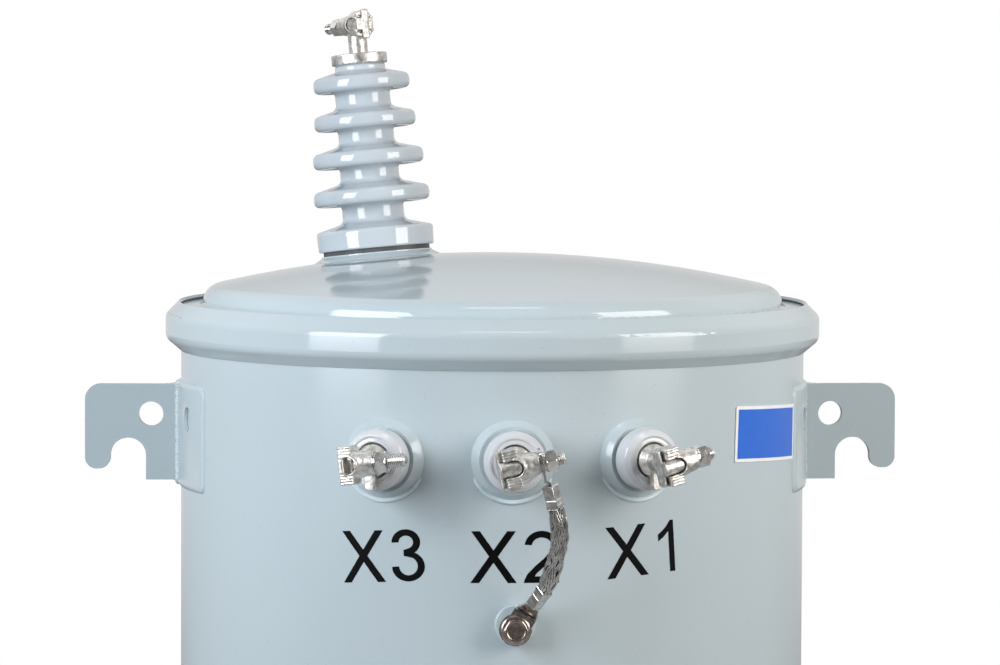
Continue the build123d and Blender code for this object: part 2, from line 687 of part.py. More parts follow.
def lug_outline(root):
    """The hook plate, with X outward and Y negative downwards."""
    notch_r = (NOTCH_OUTER - NOTCH_INNER) / 2
    notch_middle = (NOTCH_OUTER + NOTCH_INNER) / 2
    plate = polygon((root, 0), (LUG_OUT, 0), (LUG_OUT, -LUG_HEIGHT), (root, -LUG_HEIGHT))
    outer_low = polygon(
        (NOTCH_INNER, -FINGER_DROP), (LUG_OUT + 1, -FINGER_DROP), (LUG_OUT + 1, -LUG_HEIGHT - 1),
        (NOTCH_INNER, -LUG_HEIGHT - 1),
    )
    notch = polygon(
        (NOTCH_INNER, -NOTCH_TOP - notch_r), (NOTCH_OUTER, -NOTCH_TOP - notch_r),
        (NOTCH_OUTER, -LUG_HEIGHT - 1), (NOTCH_INNER, -LUG_HEIGHT - 1),
    )
    plate = plate - outer_low - notch - Pos(notch_middle, -NOTCH_TOP - notch_r) * Circle(notch_r)
    plate -= Pos(LUG_HOLE_OUT, -LUG_HOLE_DROP) * Circle(LUG_HOLE_R)
    finger = [v for v in plate.vertices() if abs(v.Y + FINGER_DROP) < 0.01 and v.X > NOTCH_OUTER - 1]
    reach = min(LUG_OUT - NOTCH_OUTER, (FINGER_DROP - NOTCH_TOP - notch_r) * 1.95)
    plate = fillet(finger, reach * 0.45)
    top_corner = [v for v in plate.vertices() if v.X > LUG_OUT - 0.01 and v.Y > -1]
    return fillet(top_corner, LUG_CORNER_R)


def lifting_lug(side):
    """Hook plate welded to its pad."""
    root = -LUG_THICK * 2
    plate = extrude(lug_outline(root), LUG_THICK / 2, both=True)
    solid = lug_frame(side) * plate
    return solid - disc(TANK_R + PAD_THICK + WELD_GAP, 0, RING_Z)


# ---------------------------------------------------------------- pole brackets


def hanger_bracket(height):
    """Channel bracket: a slotted face plate on two cheeks that reach the wall."""
    half, tall = BRACKET_WIDTH / 2, BRACKET_HEIGHT / 2
    face_y = TANK_R + BRACKET_OUT
    channel = block((-half, half), (0, face_y), (-tall, tall))
    channel = fillet(channel.edges().filter_by(Axis.Z).group_by(Axis.Y)[-1], BRACKET_CORNER_R)
    inside = half - BRACKET_PLATE
    channel -= block((-inside, inside), (-1, face_y - BRACKET_PLATE), (-tall, tall))
    slot_r = BRACKET_SLOT / 2
    slot_top = -tall + BRACKET_SLOT_HEIGHT - slot_r
    slot = block((-slot_r, slot_r), (TANK_R, face_y + 1), (-tall - 1, slot_top))
    slot += Pos(0, TANK_R, slot_top) * Rot(-90, 0, 0) * disc(slot_r, 0, BRACKET_OUT + 1)
    channel -= slot
    return Pos(0, 0, height) * channel - disc(TANK_R + WELD_GAP, 0, RING_Z)


# ---------------------------------------------------------------- tank ground


def ground_plane(low=0.0):
    """A frame on the wall behind the ground boss, or that far below its middle."""
    return Plane(
        origin=(GROUND_X, -TANK_R, RING_Z - GROUND_DROP - low), x_dir=(1, 0, 0),
        z_dir=(0, -1, 0),
    )


def ground_boss():
    boss = disc(GROUND_BOSS_R, -TANK_WALL, GROUND_BOSS_OUT)
    boss = fillet(boss.edges().filter_by(GeomType.CIRCLE).group_by(Axis.Z)[-1], 2.0)
    boss = ground_plane() * boss - disc(TANK_R + WELD_GAP, 0, RING_Z)
    return boss - ground_plane(GROUND_BOLT_LOW) * disc(
        GROUND_BOLT_R + SLIP, GROUND_BOSS_OUT - GROUND_BOLT_DEPTH - SLIP, GROUND_BOSS_OUT
    )


def ground_bolt():
    seat = GROUND_BOSS_OUT + STRAP_PLATE
    bolt = disc(GROUND_BOLT_R, GROUND_BOSS_OUT - GROUND_BOLT_DEPTH, seat)
    bolt += disc(GROUND_FLANGE_R, seat, seat + GROUND_FLANGE_THICK)
    head = RegularPolygon(GROUND_HEX / 2, 6, major_radius=False)
    bolt += Pos(0, 0, seat) * extrude(head, GROUND_FLANGE_THICK + GROUND_HEAD)
    return ground_plane(GROUND_BOLT_LOW) * bolt


def braid_points():
    return [Vector(x, -TANK_R - out, RING_Z + z) for x, out, z in BRAID_ROUTE]


def crimp(end, towards):
    """A flat-sided crimp barrel that ends, square on, where the braid starts."""
    along = (end - towards).normalized()
    frame = Plane(origin=end, x_dir=(1, 0, -along.X / along.Z), z_dir=along)
    return frame * block(
        (-CRIMP_WIDE / 2, CRIMP_WIDE / 2), (-CRIMP_DEEP / 2, CRIMP_DEEP / 2), (0, CRIMP_LENGTH)
    )


def strap_braid():
    points = braid_points()
    radii = []
    for before, here, after in zip(points, points[1:], points[2:]):
        first, second = here - before, after - here
        half_turn = radians(first.get_angle(second)) / 2
        radii.append(0.45 * min(first.length, second.length) / tan(half_turn))
    print("braid radii", [round(r, 1) for r in radii])
    path = FilletPolyline(*points, radius=radii)
    start = Plane(origin=points[0], z_dir=points[1] - points[0])
    braid = sweep(start * Circle(BRAID_R), path=path)
    print("braid length", round(path.length, 1), "volume", round(braid.volume))
    return braid


def strap_lug_upper():
    """Eye on the middle terminal's bolt, a joggled neck and the upper crimp."""
    tilt = radians(TILT["middle"])
    turned = wall_plane(LV_AZIMUTHS["middle"], LV_Z) * Pos(0, 0, CLAMP_OUT) * Rot(0, 0, TILT["middle"])
    low, high = BARREL_END, BARREL_END + STRAP_PLATE
    width = EYE_R * 0.8
    flat = rod(EYE_R, low, high) + block((low, high), (-EYE_FLAT, 0), (-width, width))
    bore = rod(SHANK_R + SLIP, low - 1, high + 1)
    points = braid_points()
    top = points[0] + (points[0] - points[1]).normalized() * CRIMP_LENGTH
    heel = [(x * cos(tilt) + EYE_FLAT * sin(tilt), x * sin(tilt) - EYE_FLAT * cos(tilt))
            for x in (low, high)]
    inner, outer = [(x, LV_Z + z + 1) for x, z in heel]
    overlap = CRIMP_LENGTH / 5
    joggle = polygon(
        inner, outer, (top.X + STRAP_PLATE, top.Z), (top.X + STRAP_PLATE, top.Z - overlap),
        (top.X - STRAP_PLATE, top.Z - overlap), (top.X - STRAP_PLATE, top.Z),
    )
    neck = extrude(Plane.XZ * joggle, width, both=True)
    neck = Pos(0, -TANK_R - CLAMP_OUT, 0) * neck
    return turned * (flat - bore) + neck + crimp(points[0], points[1])


def strap_lug_lower():
    """Palm under the ground bolt, with the lower crimp."""
    points = braid_points()
    end = points[-1]
    foot = end + (end - points[-2]).normalized() * CRIMP_LENGTH
    ground = ground_plane(GROUND_BOLT_LOW)
    local = ground.to_local_coords(foot)
    low, high = GROUND_BOSS_OUT, GROUND_BOSS_OUT + STRAP_PLATE
    reach = sqrt(local.X**2 + local.Y**2)
    bend = GROUND_FLANGE_R + 1
    width = EYE_R / 2
    profile = polygon(
        (bend / 2, low), (bend + STRAP_PLATE, low), (reach + STRAP_PLATE, local.Z - STRAP_PLATE),
        (reach + STRAP_PLATE, local.Z + STRAP_PLATE), (reach - 1, local.Z + STRAP_PLATE),
        (bend, high), (bend / 2, high),
    )
    turn = Rot(0, 0, degrees(atan2(local.Y, local.X)))
    neck = turn * extrude(Plane.XZ * profile, width, both=True)
    palm = disc(EYE_R, low, high) + neck - disc(GROUND_BOLT_R + SLIP, low - 1, high + 1)
    return ground * palm + crimp(end, points[-2])


# ---------------------------------------------------------------- label


def label_plate():
    """Thin curved plate on the right of the tank."""
    middle = RING_Z - LABEL_TOP_DROP - LABEL_HEIGHT / 2
    inner, outer = TANK_R + WELD_GAP, TANK_R + WELD_GAP + LABEL_THICK
    half = radians(LABEL_TO - LABEL_FROM) / 2
    outline = RectangleRounded(2 * outer * sin(half), LABEL_HEIGHT, LABEL_CORNER_R)
    frame = wall_plane((LABEL_FROM + LABEL_TO) / 2, middle, 0)
    band = tube(outer, inner, middle - LABEL_HEIGHT, middle + LABEL_HEIGHT)
    return band & (frame * Rot(0, 0, LABEL_TURN) * extrude(outline, TANK_R * 2))


def build():
    parts = {
        "tank_wall": tank_wall(),
        "tank_bottom": tank_bottom(),
        "core_and_oil": core_and_oil(),
        "cover": cover(),
        "cover_gasket": cover_gasket(),
        "clamp_ring": clamp_ring(),
        "closure_bolt": closure_bolt(),
        "closure_nut": closure_nut(),
        "hv_gasket": hv_gasket(),
        "hv_porcelain": hv_porcelain(),
        "hv_cap": hv_cap(),
        "hv_clamp": hv_clamp(),
        "hv_clamp_bolt": hv_bolt(),
        "hv_clamp_nut": hv_nut(),
        "hanger_bracket_upper": hanger_bracket(RING_Z - BRACKET_DROP),
        "hanger_bracket_lower": hanger_bracket(RING_Z - BRACKET_DROP - BRACKET_SPACING),
        "ground_boss": ground_boss(),
        "ground_bolt": ground_bolt(),
        "strap_lug_upper": strap_lug_upper(),
        "strap_braid": strap_braid(),
        "strap_lug_lower": strap_lug_lower(),
        "label_plate": label_plate(),
    }
    for name, side in (("left", -1), ("right", 1)):
        parts[f"lug_pad_{name}"] = lug_pad(side)
        parts[f"lifting_lug_{name}"] = lifting_lug(side)
    for name, azimuth in LV_AZIMUTHS.items():
        frame = wall_plane(azimuth, LV_Z)
        grip = STRAP_PLATE if name == "middle" else 0
        clamp = frame * Pos(0, 0, CLAMP_OUT) * Rot(0, 0, TILT[name])
        bolt = clamp_bolt(SHANK_TAIL[name], grip, turned=name == TURNED_SIDE)
        parts[f"lv_gasket_{name}"] = frame * lv_gasket()
        parts[f"lv_porcelain_{name}"] = frame * lv_porcelain()
        parts[f"lv_stud_{name}"] = frame * lv_stud(name)
        parts[f"lv_clamp_bolt_{name}"] = clamp * bolt
        parts[f"lv_clamp_nut_{name}"] = clamp * clamp_nut(grip)
    return parts


os.makedirs("parts", exist_ok=True)
for node, shape in build().items():
    export_step(shape, f"parts/{node}.step")
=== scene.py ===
"""Pole mounted transformer: its finishes, fine detail and a plain studio.

Metres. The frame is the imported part's own: the origin on the tank's axis at the foot, +Z up, the
low-voltage terminals towards -Y and the pole brackets towards +Y.
"""

import json
import random
from contextlib import contextmanager
from math import cos, pi, radians, sin, sqrt

import bmesh
import bpy
from bpy.props import FloatProperty, FloatVectorProperty, IntProperty, PointerProperty
from mathutils import Matrix, Vector, noise


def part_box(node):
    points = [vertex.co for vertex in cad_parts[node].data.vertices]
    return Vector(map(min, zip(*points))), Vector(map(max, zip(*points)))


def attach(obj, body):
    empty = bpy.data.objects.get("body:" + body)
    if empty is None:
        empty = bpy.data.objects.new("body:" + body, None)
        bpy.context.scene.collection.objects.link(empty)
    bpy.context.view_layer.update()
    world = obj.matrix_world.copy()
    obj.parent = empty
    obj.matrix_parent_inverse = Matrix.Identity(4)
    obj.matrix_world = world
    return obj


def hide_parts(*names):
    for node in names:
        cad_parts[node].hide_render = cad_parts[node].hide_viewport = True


bl_info = {
    "name": "Pole Mounted Transformer",
    "version": (1, 0, 0),
    "blender": (4, 5, 0),
    "location": "3D Viewport > Sidebar > Transformer",
    "description": "Enamel, glaze, castings, threads, braid, marks and a studio",
    "category": "Object",
}

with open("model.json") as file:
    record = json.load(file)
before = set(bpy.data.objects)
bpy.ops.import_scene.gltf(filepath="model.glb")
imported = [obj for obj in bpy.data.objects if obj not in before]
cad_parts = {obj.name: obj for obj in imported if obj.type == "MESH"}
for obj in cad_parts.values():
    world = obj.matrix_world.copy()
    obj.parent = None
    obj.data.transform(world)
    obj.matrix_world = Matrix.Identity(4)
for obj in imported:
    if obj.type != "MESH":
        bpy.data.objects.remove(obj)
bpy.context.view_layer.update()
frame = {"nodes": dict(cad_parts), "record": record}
NODES = frame["nodes"]

SIDES = ("left", "middle", "right")
AZIMUTHS = {"left": -23.0, "middle": 0.0, "right": 23.0}
TILTS = {"left": 7.0, "middle": 11.5, "right": 14.0}
MM = 0.001


def middle_of(node):
    low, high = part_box(node)
    return (low + high) / 2


def mount_place(name):
    """Where the record puts one of the part's mounts."""
    return next(Vector(m["pos_m"]) for m in frame["record"]["mounts"] if m["name"] == name)


CORE_GAP = 30 * MM  # from the core to the outside of the tank's wall
TANK_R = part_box("core_and_oil")[1].x + CORE_GAP
RING_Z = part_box("clamp_ring")[0].z
LV_Z = middle_of("lv_gasket_middle").z
CLAMP_OUT = 68 * MM  # from the tank's surface out to a wall clamp's axis
HV_FOOT = Vector((-100.5, 80.0, 878.9)) * MM  # where the tall bushing meets the cover
HV_SCALE = 0.85  # of its clamp, to the wall clamps
HV_TURN = 127.0  # direction of its clamp's bolt, in degrees
STRAP_ROUTE = [  # millimetres to the right, out from the tank and up from the clamp ring
    (31.4, 68.0, -110.6), (36.2, 65.0, -128.5), (34.6, 56.0, -148.5), (31.2, 44.0, -167.5),
    (25.2, 33.0, -184.0),
]


# ---------------------------------------------------------------- shader maths


class Wire:
    """A socket in a node tree, with arithmetic that adds the nodes it needs."""

    def __init__(self, tree, socket):
        self.tree, self.socket = tree, socket

    def math(self, operation, other, reflected=False):
        node = self.tree.nodes.new("ShaderNodeMath")
        node.operation = operation
        for slot, value in zip(node.inputs, (other, self) if reflected else (self, other)):
            feed(self.tree, slot, value)
        return Wire(self.tree, node.outputs[0])

    def __add__(self, other):
        return self.math("ADD", other)

    def __sub__(self, other):
        return self.math("SUBTRACT", other)

    def __rsub__(self, other):
        return self.math("SUBTRACT", other, reflected=True)

    def __mul__(self, other):
        return self.math("MULTIPLY", other)

    __radd__, __rmul__ = __add__, __mul__


def feed(tree, slot, value):
    if isinstance(value, Wire):
        tree.links.new(value.socket, slot)
    else:
        slot.default_value = value


class Nodes:
    """A node tree and the few things that are done to it."""

    def __init__(self, tree):
        self.tree = tree

    def node(self, kind, settings=None, output=0, **sockets):
        made = self.tree.nodes.new("ShaderNode" + kind)
        for key, value in (settings or {}).items():
            if key == "stops":
                self.set_stops(made.color_ramp, value)
            else:
                setattr(made, key, value)
        for key, value in sockets.items():
            name = int(key[1:]) if key[1:].isdigit() else key.replace("_", " ")
            feed(self.tree, made.inputs[name], value)
        return Wire(self.tree, made.outputs[output])

    @staticmethod
    def set_stops(ramp, stops):
        while len(ramp.elements) > 1:
            ramp.elements.remove(ramp.elements[-1])
        for index, (place, value) in enumerate(stops):
            element = ramp.elements[0] if index == 0 else ramp.elements.new(place)
            element.position = place
            element.color = (value, value, value, 1.0)

    def place(self, kind="Object"):
        return self.node("TexCoord", output=kind)

    def ray(self, kind):
        """1 for rays of a kind, and 0 for the others."""
        return self.node("LightPath", output=f"Is {kind} Ray")

    def seen(self):
        """1 for rays that see the white background."""
        return self.ray("Camera").math("MAXIMUM", self.ray("Transmission"))

    def ramp(self, factor, *stops):
        return self.node("ValToRGB", {"stops": stops}, Fac=factor)


class Shader(Nodes):
    """A new material, and what its finishes are mixed from."""

    def __init__(self, name):
        self.material = bpy.data.materials.new(name)
        self.material.use_nodes = True
        super().__init__(self.material.node_tree)
        self.principled = self.tree.nodes["Principled BSDF"]

    def noise(self, scale, detail=3.0, roughness=0.5, stretch=None):
        where = self.place()
        if stretch:
            where = self.node("VectorMath", {"operation": "MULTIPLY"}, _0=where, _1=stretch)
        return self.node(
            "TexNoise", Vector=where, Scale=scale, Detail=detail, Roughness=roughness
        )

    def patches(self, low, high, scale, detail=3.0, roughness=0.5):
        """A mask that goes from 0 to 1 as a noise goes from low to high."""
        return self.ramp(self.noise(scale, detail, roughness), (low, 0.0), (high, 1.0))

    def mix(self, factor, first, second):
        """Two colours, each four numbers or a wire."""
        return self.node(
            "Mix", {"data_type": "RGBA"}, output=2, _0=factor, _6=first, _7=second
        )

    def shades(self, mask, colour, first, second):
        """A colour made lighter or darker by two factors, and mixed by a mask."""
        return self.mix(mask, tint(colour, first), tint(colour, second))

    def bump(self, height, distance, strength):
        return self.node("Bump", Height=height, Distance=distance, Strength=strength)

    def finish(self, **sockets):
        for key, value in sockets.items():
            feed(self.tree, self.principled.inputs[key.replace("_", " ")], value)
        return self.material


def tint(colour, factor):
    return tuple(min(1.0, channel * factor) for channel in colour[:3]) + (1.0,)


# ---------------------------------------------------------------- materials


def enamel(name, colour, roughness, level):
    """Enamel over steel: faint cloudiness, sparse dust and a very fine orange peel."""
    s = Shader(name)
    cloud = s.patches(0.3, 0.7, 6.0, 4.0)
    base = s.shades(cloud, colour, 0.985, 1.015)
    dust = s.patches(0.735, 0.765, 520.0, 1.0, 0.6)
    base = s.mix(dust * 0.55, base, tint(colour, 0.62))
    grain = s.patches(0.35, 0.65, 1500.0, 2.0, 0.6)
    base = s.mix(grain * 0.10, base, tint(colour, 0.86))
    return s.finish(
        Base_Color=base, Roughness=roughness + cloud * 0.03, Specular_IOR_Level=level,
        Normal=s.bump(s.noise(330.0, 2.0), 0.03 * MM, 0.25),
    )


def glaze(name, colour, roughness):
    """Fired glaze: very smooth, a little deeper where it pools, with rare pin specks."""
    s = Shader(name)
    pool = s.patches(0.35, 0.7, 22.0)
    base = s.shades(pool, colour, 0.97, 1.03)
    pins = s.patches(0.72, 0.78, 650.0, 1.0, 0.6)
    base = s.mix(pins * 0.3, base, tint(colour, 0.6))
    return s.finish(
        Base_Color=base, Roughness=roughness + pool * 0.02, Specular_IOR_Level=0.55, IOR=1.5,
        Normal=s.bump(s.noise(40.0, 1.0), 0.02 * MM, 0.2),
    )


def casting(name, colour):
    """Tinned casting: bright and dull patches, brown stain, over a sandy grain."""
    s = Shader(name)
    mottle = s.patches(0.40, 0.60, 260.0, 5.0, 0.65)
    stain = s.patches(0.50, 0.68, 120.0, 4.0, 0.6)
    base = s.shades(mottle, colour, 0.74, 1.15)
    base = s.mix(stain * 0.4, base, (0.40, 0.36, 0.30, 1.0))
    grain = s.noise(1300.0, 3.0, 0.7) * 0.5 + s.noise(420.0)
    return s.finish(
        Base_Color=base, Metallic=0.97, Roughness=0.36 + mottle * 0.12,
        Normal=s.bump(grain, 0.26 * MM, 0.6),
    )


def plated(name, colour, roughness):
    """Turned or rolled metal with faint drawn lines and handling marks."""
    s = Shader(name)
    marks = s.patches(0.42, 0.66, 160.0, 4.0, 0.65)
    lines = s.noise(60.0, 4.0, 0.6, stretch=(14.0, 14.0, 1.0))
    return s.finish(
        Base_Color=s.shades(marks, colour, 0.78, 1.1), Metallic=0.98,
        Roughness=roughness + marks * 0.1, Normal=s.bump(lines, 0.05 * MM, 0.3),
    )


def nitrile(name, tone):
    """Dark gasket rubber, paler where dust lies."""
    s = Shader(name)
    dust = s.patches(0.4, 0.75, 60.0, 4.0)
    base = s.mix(dust, (tone, tone, tone * 1.05, 1.0), (tone * 1.7, tone * 1.7, tone * 1.8, 1.0))
    return s.finish(
        Base_Color=base, Roughness=0.6 - dust * 0.1, Normal=s.bump(s.noise(700.0), 0.1 * MM, 0.3)
    )


def vinyl(name, colour):
    """Printed label stock."""
    s = Shader(name)
    wash = s.patches(0.4, 0.6, 90.0)
    return s.finish(
        Base_Color=s.shades(wash, colour, 0.97, 1.03), Roughness=0.34 + wash * 0.05,
        Specular_IOR_Level=0.35, Normal=s.bump(s.noise(300.0), 0.03 * MM, 0.3),
    )


def marking_paint(name):
    """Stencilled black, a little thin and uneven."""
    s = Shader(name)
    thin = s.patches(0.45, 0.75, 420.0, 4.0, 0.7)
    return s.finish(
        Base_Color=s.mix(thin, (0.002, 0.002, 0.002, 1.0), (0.006, 0.006, 0.007, 1.0)),
        Roughness=0.6 + thin * 0.12, Specular_IOR_Level=0.08,
        Normal=s.bump(s.noise(500.0), 0.03 * MM, 0.3),
    )


# ---------------------------------------------------------------- pieces


def piece(name, shape, material, slot, *replaces):
    """A new object that rides with the part, from a mesh or from (mesh, matrix) parts."""
    mesh = joined(name, shape) if isinstance(shape, list) else shape
    made = bpy.data.objects.new(name, mesh)
    bpy.context.scene.collection.objects.link(made)
    mesh.materials.clear()
    mesh.materials.append(material)
    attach(made, "root")
    if replaces:
        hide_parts(*replaces)
    return made


def dress(material, *nodes):
    """Gives nodes a material in place of their own."""
    for name in nodes:
        slots = NODES[name].data.materials
        slots.clear()
        slots.append(material)


def mesh_from(name, points, faces, smooth=True):
    mesh = bpy.data.meshes.new(name)
    mesh.from_pydata([tuple(p) for p in points], [], faces)
    mesh.validate()
    if smooth:
        mesh.shade_smooth()
    return mesh


def joined(name, parts):
    """One mesh from several, each a (mesh, matrix) pair."""
    whole = bmesh.new()
    for mesh, matrix in parts:
        copy = mesh.copy()
        copy.transform(matrix)
        whole.from_mesh(copy)
        bpy.data.meshes.remove(copy)
    result = bpy.data.meshes.new(name)
    whole.to_mesh(result)
    whole.free()
    result.shade_smooth()
    return result


def evaluated(data, voxel=0.0):
    """A new mesh from a curve, or from a mesh that is fused on a grid."""
    source = bpy.data.objects.new(data.name, data)
    bpy.context.scene.collection.objects.link(source)
    if voxel:
        fuse = source.modifiers.new("fuse", "REMESH")
        fuse.mode = "VOXEL"
        fuse.voxel_size = voxel
    bpy.context.view_layer.update()
    found = source.evaluated_get(bpy.context.evaluated_depsgraph_get())
    mesh = bpy.data.meshes.new_from_object(found)
    bpy.data.objects.remove(source)
    return mesh


@contextmanager
def opened(mesh):
    """A mesh's points and faces, open for edits."""
    skin = bmesh.new()
    skin.from_mesh(mesh)
    yield skin
    skin.to_mesh(mesh)
    skin.free()


def creased(mesh, angle=35.0):
    """Smooth shading that keeps edges sharper than an angle."""
    mesh.shade_smooth()
    with opened(mesh) as skin:
        for edge in skin.edges:
            if len(edge.link_faces) == 2:
                edge.smooth = edge.calc_face_angle(0.0) < radians(angle)
    return mesh


def on_wall(a, height, out=0.0):
    """A place on the tank's wall or out from it, at an angle from the front."""
    radius = TANK_R + out
    return Vector((radius * sin(a), -radius * cos(a), height))


def wall_matrix(azimuth, height, out=0.0):
    """A frame on the tank: X to the right seen from outside, Y up, Z outward."""
    a = radians(azimuth)
    axes = Matrix(((cos(a), 0.0, sin(a)), (sin(a), 0.0, -cos(a)), (0.0, 1.0, 0.0)))
    return Matrix.Translation(on_wall(a, height, out)) @ axes.to_4x4()


def clamp_matrix(side):
    """The frame of a wall clamp: X along its bolt, Z away from the tank."""
    turn = Matrix.Rotation(radians(TILTS[side]), 4, "Z")
    return wall_matrix(AZIMUTHS[side], LV_Z, CLAMP_OUT) @ turn


def hv_clamp_matrix():
    """The frame of the tall bushing's clamp: X along its bolt, Z across its jaws."""
    place = mount_place("hv_terminal")
    up = (place - HV_FOOT).normalized()
    x = Vector((1.0, 0.0, -up.x / up.z)).normalized()
    turned = Matrix((x, up.cross(x), up)).transposed().to_4x4()
    return (
        Matrix.Translation(place) @ turned @ Matrix.Rotation(radians(HV_TURN), 4, "Z")
        @ Matrix.Rotation(radians(90), 4, "X") @ Matrix.Scale(HV_SCALE, 4)
    )


def axis_matrix(origin, along):
    """A frame with X along a direction."""
    x = Vector(along).normalized()
    z = Vector((0, 0, 1)) if abs(x.z) < 0.9 else Vector((0, 1, 0))
    y = z.cross(x).normalized()
    turned = Matrix((x, y, x.cross(y))).transposed().to_4x4()
    return Matrix.Translation(Vector(origin)) @ turned


def heading(points, i):
    """The direction of a line of points at one of them."""
    return (points[min(i + 1, len(points) - 1)] - points[max(i - 1, 0)]).normalized()


def divided(corners, step, least=1):
    """Points along straight runs, each run in equal steps."""
    points = []
    for one, two in zip(corners, corners[1:]):
        count = max(least, int((two - one).length / step))
        points += [one.lerp(two, i / count) for i in range(count)]
    return points


def skin_faces(rows, sides, capped=True):
    """Faces between rows of points, with a cap at each end or closed into a ring."""
    faces = []
    for i in range(rows - 1 if capped else rows):
        a, b = i * sides, (i + 1) % rows * sides
        for j in range(sides):
            k = (j + 1) % sides
            faces.append((a + k, a + j, b + j, b + k))
    if capped:
        faces.append(tuple(range(sides)))
        faces.append(tuple(reversed(range((rows - 1) * sides, rows * sides))))
    return faces


def shell(name, places, sides, angle, capped=True):
    """A closed mesh over rows of points, faced outwards and creased."""
    mesh = mesh_from(name, places, skin_faces(len(places) // sides, sides, capped))
    with opened(mesh) as skin:
        bmesh.ops.recalc_face_normals(skin, faces=skin.faces)
    return creased(mesh, angle)


def tube_along(points, radius_at, sides, wide=1.0, across=(0.0, 0.0, 1.0)):
    """Points and faces of a closed tube, with a radius for each place along and round it."""
    rings = []
    lean = Vector(across)
    for i, here in enumerate(points):
        ahead = heading(points, i)
        side = ahead.cross(lean).normalized()
        lean = side.cross(ahead)
        for j in range(sides):
            t = 2 * pi * j / sides
            r = radius_at(i / (len(points) - 1), t)
            rings.append(here + side * cos(t) * r * wide + lean * sin(t) * r)
    return rings, skin_faces(len(points), sides)


def rod(points, radius):
    """A round bar through points in millimetres."""
    line = [Vector([c * MM for c in point]) for point in points]
    return mesh_from("bar", *tube_along(line, lambda u, t: radius * MM, 8))


def ribbon(points, across, halves, thick):
    """A flat strip along points, with a half width at each of them."""
    places = []
    for i, here in enumerate(points):
        lift = heading(points, i).cross(across).normalized() * thick / 2
        for a, b in ((-1, -1), (1, -1), (1, 1), (-1, 1)):
            places.append(here + across * halves[i] * a + lift * b)
    return shell("ribbon", places, 4, 30.0)


def spun(stations, sides):
    """A closed solid round the X axis from (x, radius) stations.

    A station's radius is a number or a function of the angle.
    """
    points = []
    for x, radius in stations:
        for j in range(sides):
            t = 2 * pi * j / sides
            r = radius(t) if callable(radius) else radius
            points.append((x, r * sin(t), r * cos(t)))
    return mesh_from("spun", points, skin_faces(len(stations), sides), smooth=False)


def hexagon(flats, limit, corners=6):
    """Radius of a bar with flats at an angle, no more than a limit."""
    step = 2 * pi / corners
    return lambda t: min(flats / 2 / cos(t % step - step / 2), limit)


def cast(name, node, metal, slot, voxel, passes, lumps, extras=(), shape=None):
    """A rough casting: a node's mesh and what stands on it, fused, softened and lumpy.

    A shape, where there is one, moves each point before it is roughened.
    """
    mesh = evaluated(joined("casting_parts", [(NODES[node].data, Matrix()), *extras]), voxel)
    with opened(mesh) as skin:
        for _ in range(passes):
            bmesh.ops.smooth_vert(
                skin, verts=skin.verts, factor=0.5,
                use_axis_x=True, use_axis_y=True, use_axis_z=True,
            )
        if shape:
            for vertex in skin.verts:
                vertex.co = shape(vertex.co)
        skin.normal_update()
        for vertex in skin.verts:
            here = vertex.co
            swell = noise.noise(here * 330.0) * 0.7 + noise.noise(here * 900.0) * 0.3
            vertex.co = here + vertex.normal * swell * lumps
    mesh.name = name
    mesh.shade_smooth()
    piece(name, mesh, metal, slot, node)


def nut(start, thick, flats, washer):
    """A chamfered hexagon round X, and a flat and a spring washer under it."""
    inner, slope = flats * 0.485, 1.7
    chamfer = [
        (d * MM, hexagon(flats, inner + d * MM * slope)) for d in (0.0, 0.35, 0.7, 1.1, 1.7)
    ]
    near = [(start + d, radius) for d, radius in chamfer]
    far = [(start + thick - d, radius) for d, radius in chamfer[::-1]]
    parts = [creased(spun(near + far, 72), 20.0)]
    middle, gap, edge = start - washer / 2, 0.12 * MM, 0.2 * MM
    flat, spring = flats * 0.537, flats * 0.49
    for low, high, radius in ((start - washer, middle - gap, flat), (middle, start, spring)):
        parts.append(creased(spun([
            (low, radius - edge), (low + edge, radius), (high - edge, radius),
            (high, radius - edge),
        ], 56)))
    return parts


def thread(start, length, minor, major, pitch):
    """A screw thread round the X axis, with a chamfered end."""
    sides, steps = 36, 8  # round the thread, and along each turn
    rings = int(length / pitch * steps)
    stations = []
    for i in range(rings + 1):
        x = length * i / rings
        end = min(1.0, (length - x) / (pitch * 1.3) + 0.05)

        def radius(t, x=x, end=end):
            phase = (x / pitch - t / (2 * pi)) % 1.0
            ridge = min(max(0.0, 1.0 - abs(phase - 0.5) * 2.5) * 1.35, 1.0)
            return minor * (0.80 + 0.20 * end) + (major - minor) * ridge * end

        stations.append((start + x, radius))
    mesh = spun(stations, sides)
    mesh.shade_smooth()
    return mesh


# ---------------------------------------------------------------- marks


def arc(centre, radii, start, end):
    """Points of an elliptical arc, its angles in degrees."""
    points, steps = [], 20
    for i in range(steps + 1):
        t = radians(start + (end - start) * i / steps)
        points.append((centre[0] + radii[0] * cos(t), centre[1] + radii[1] * sin(t)))
    return points


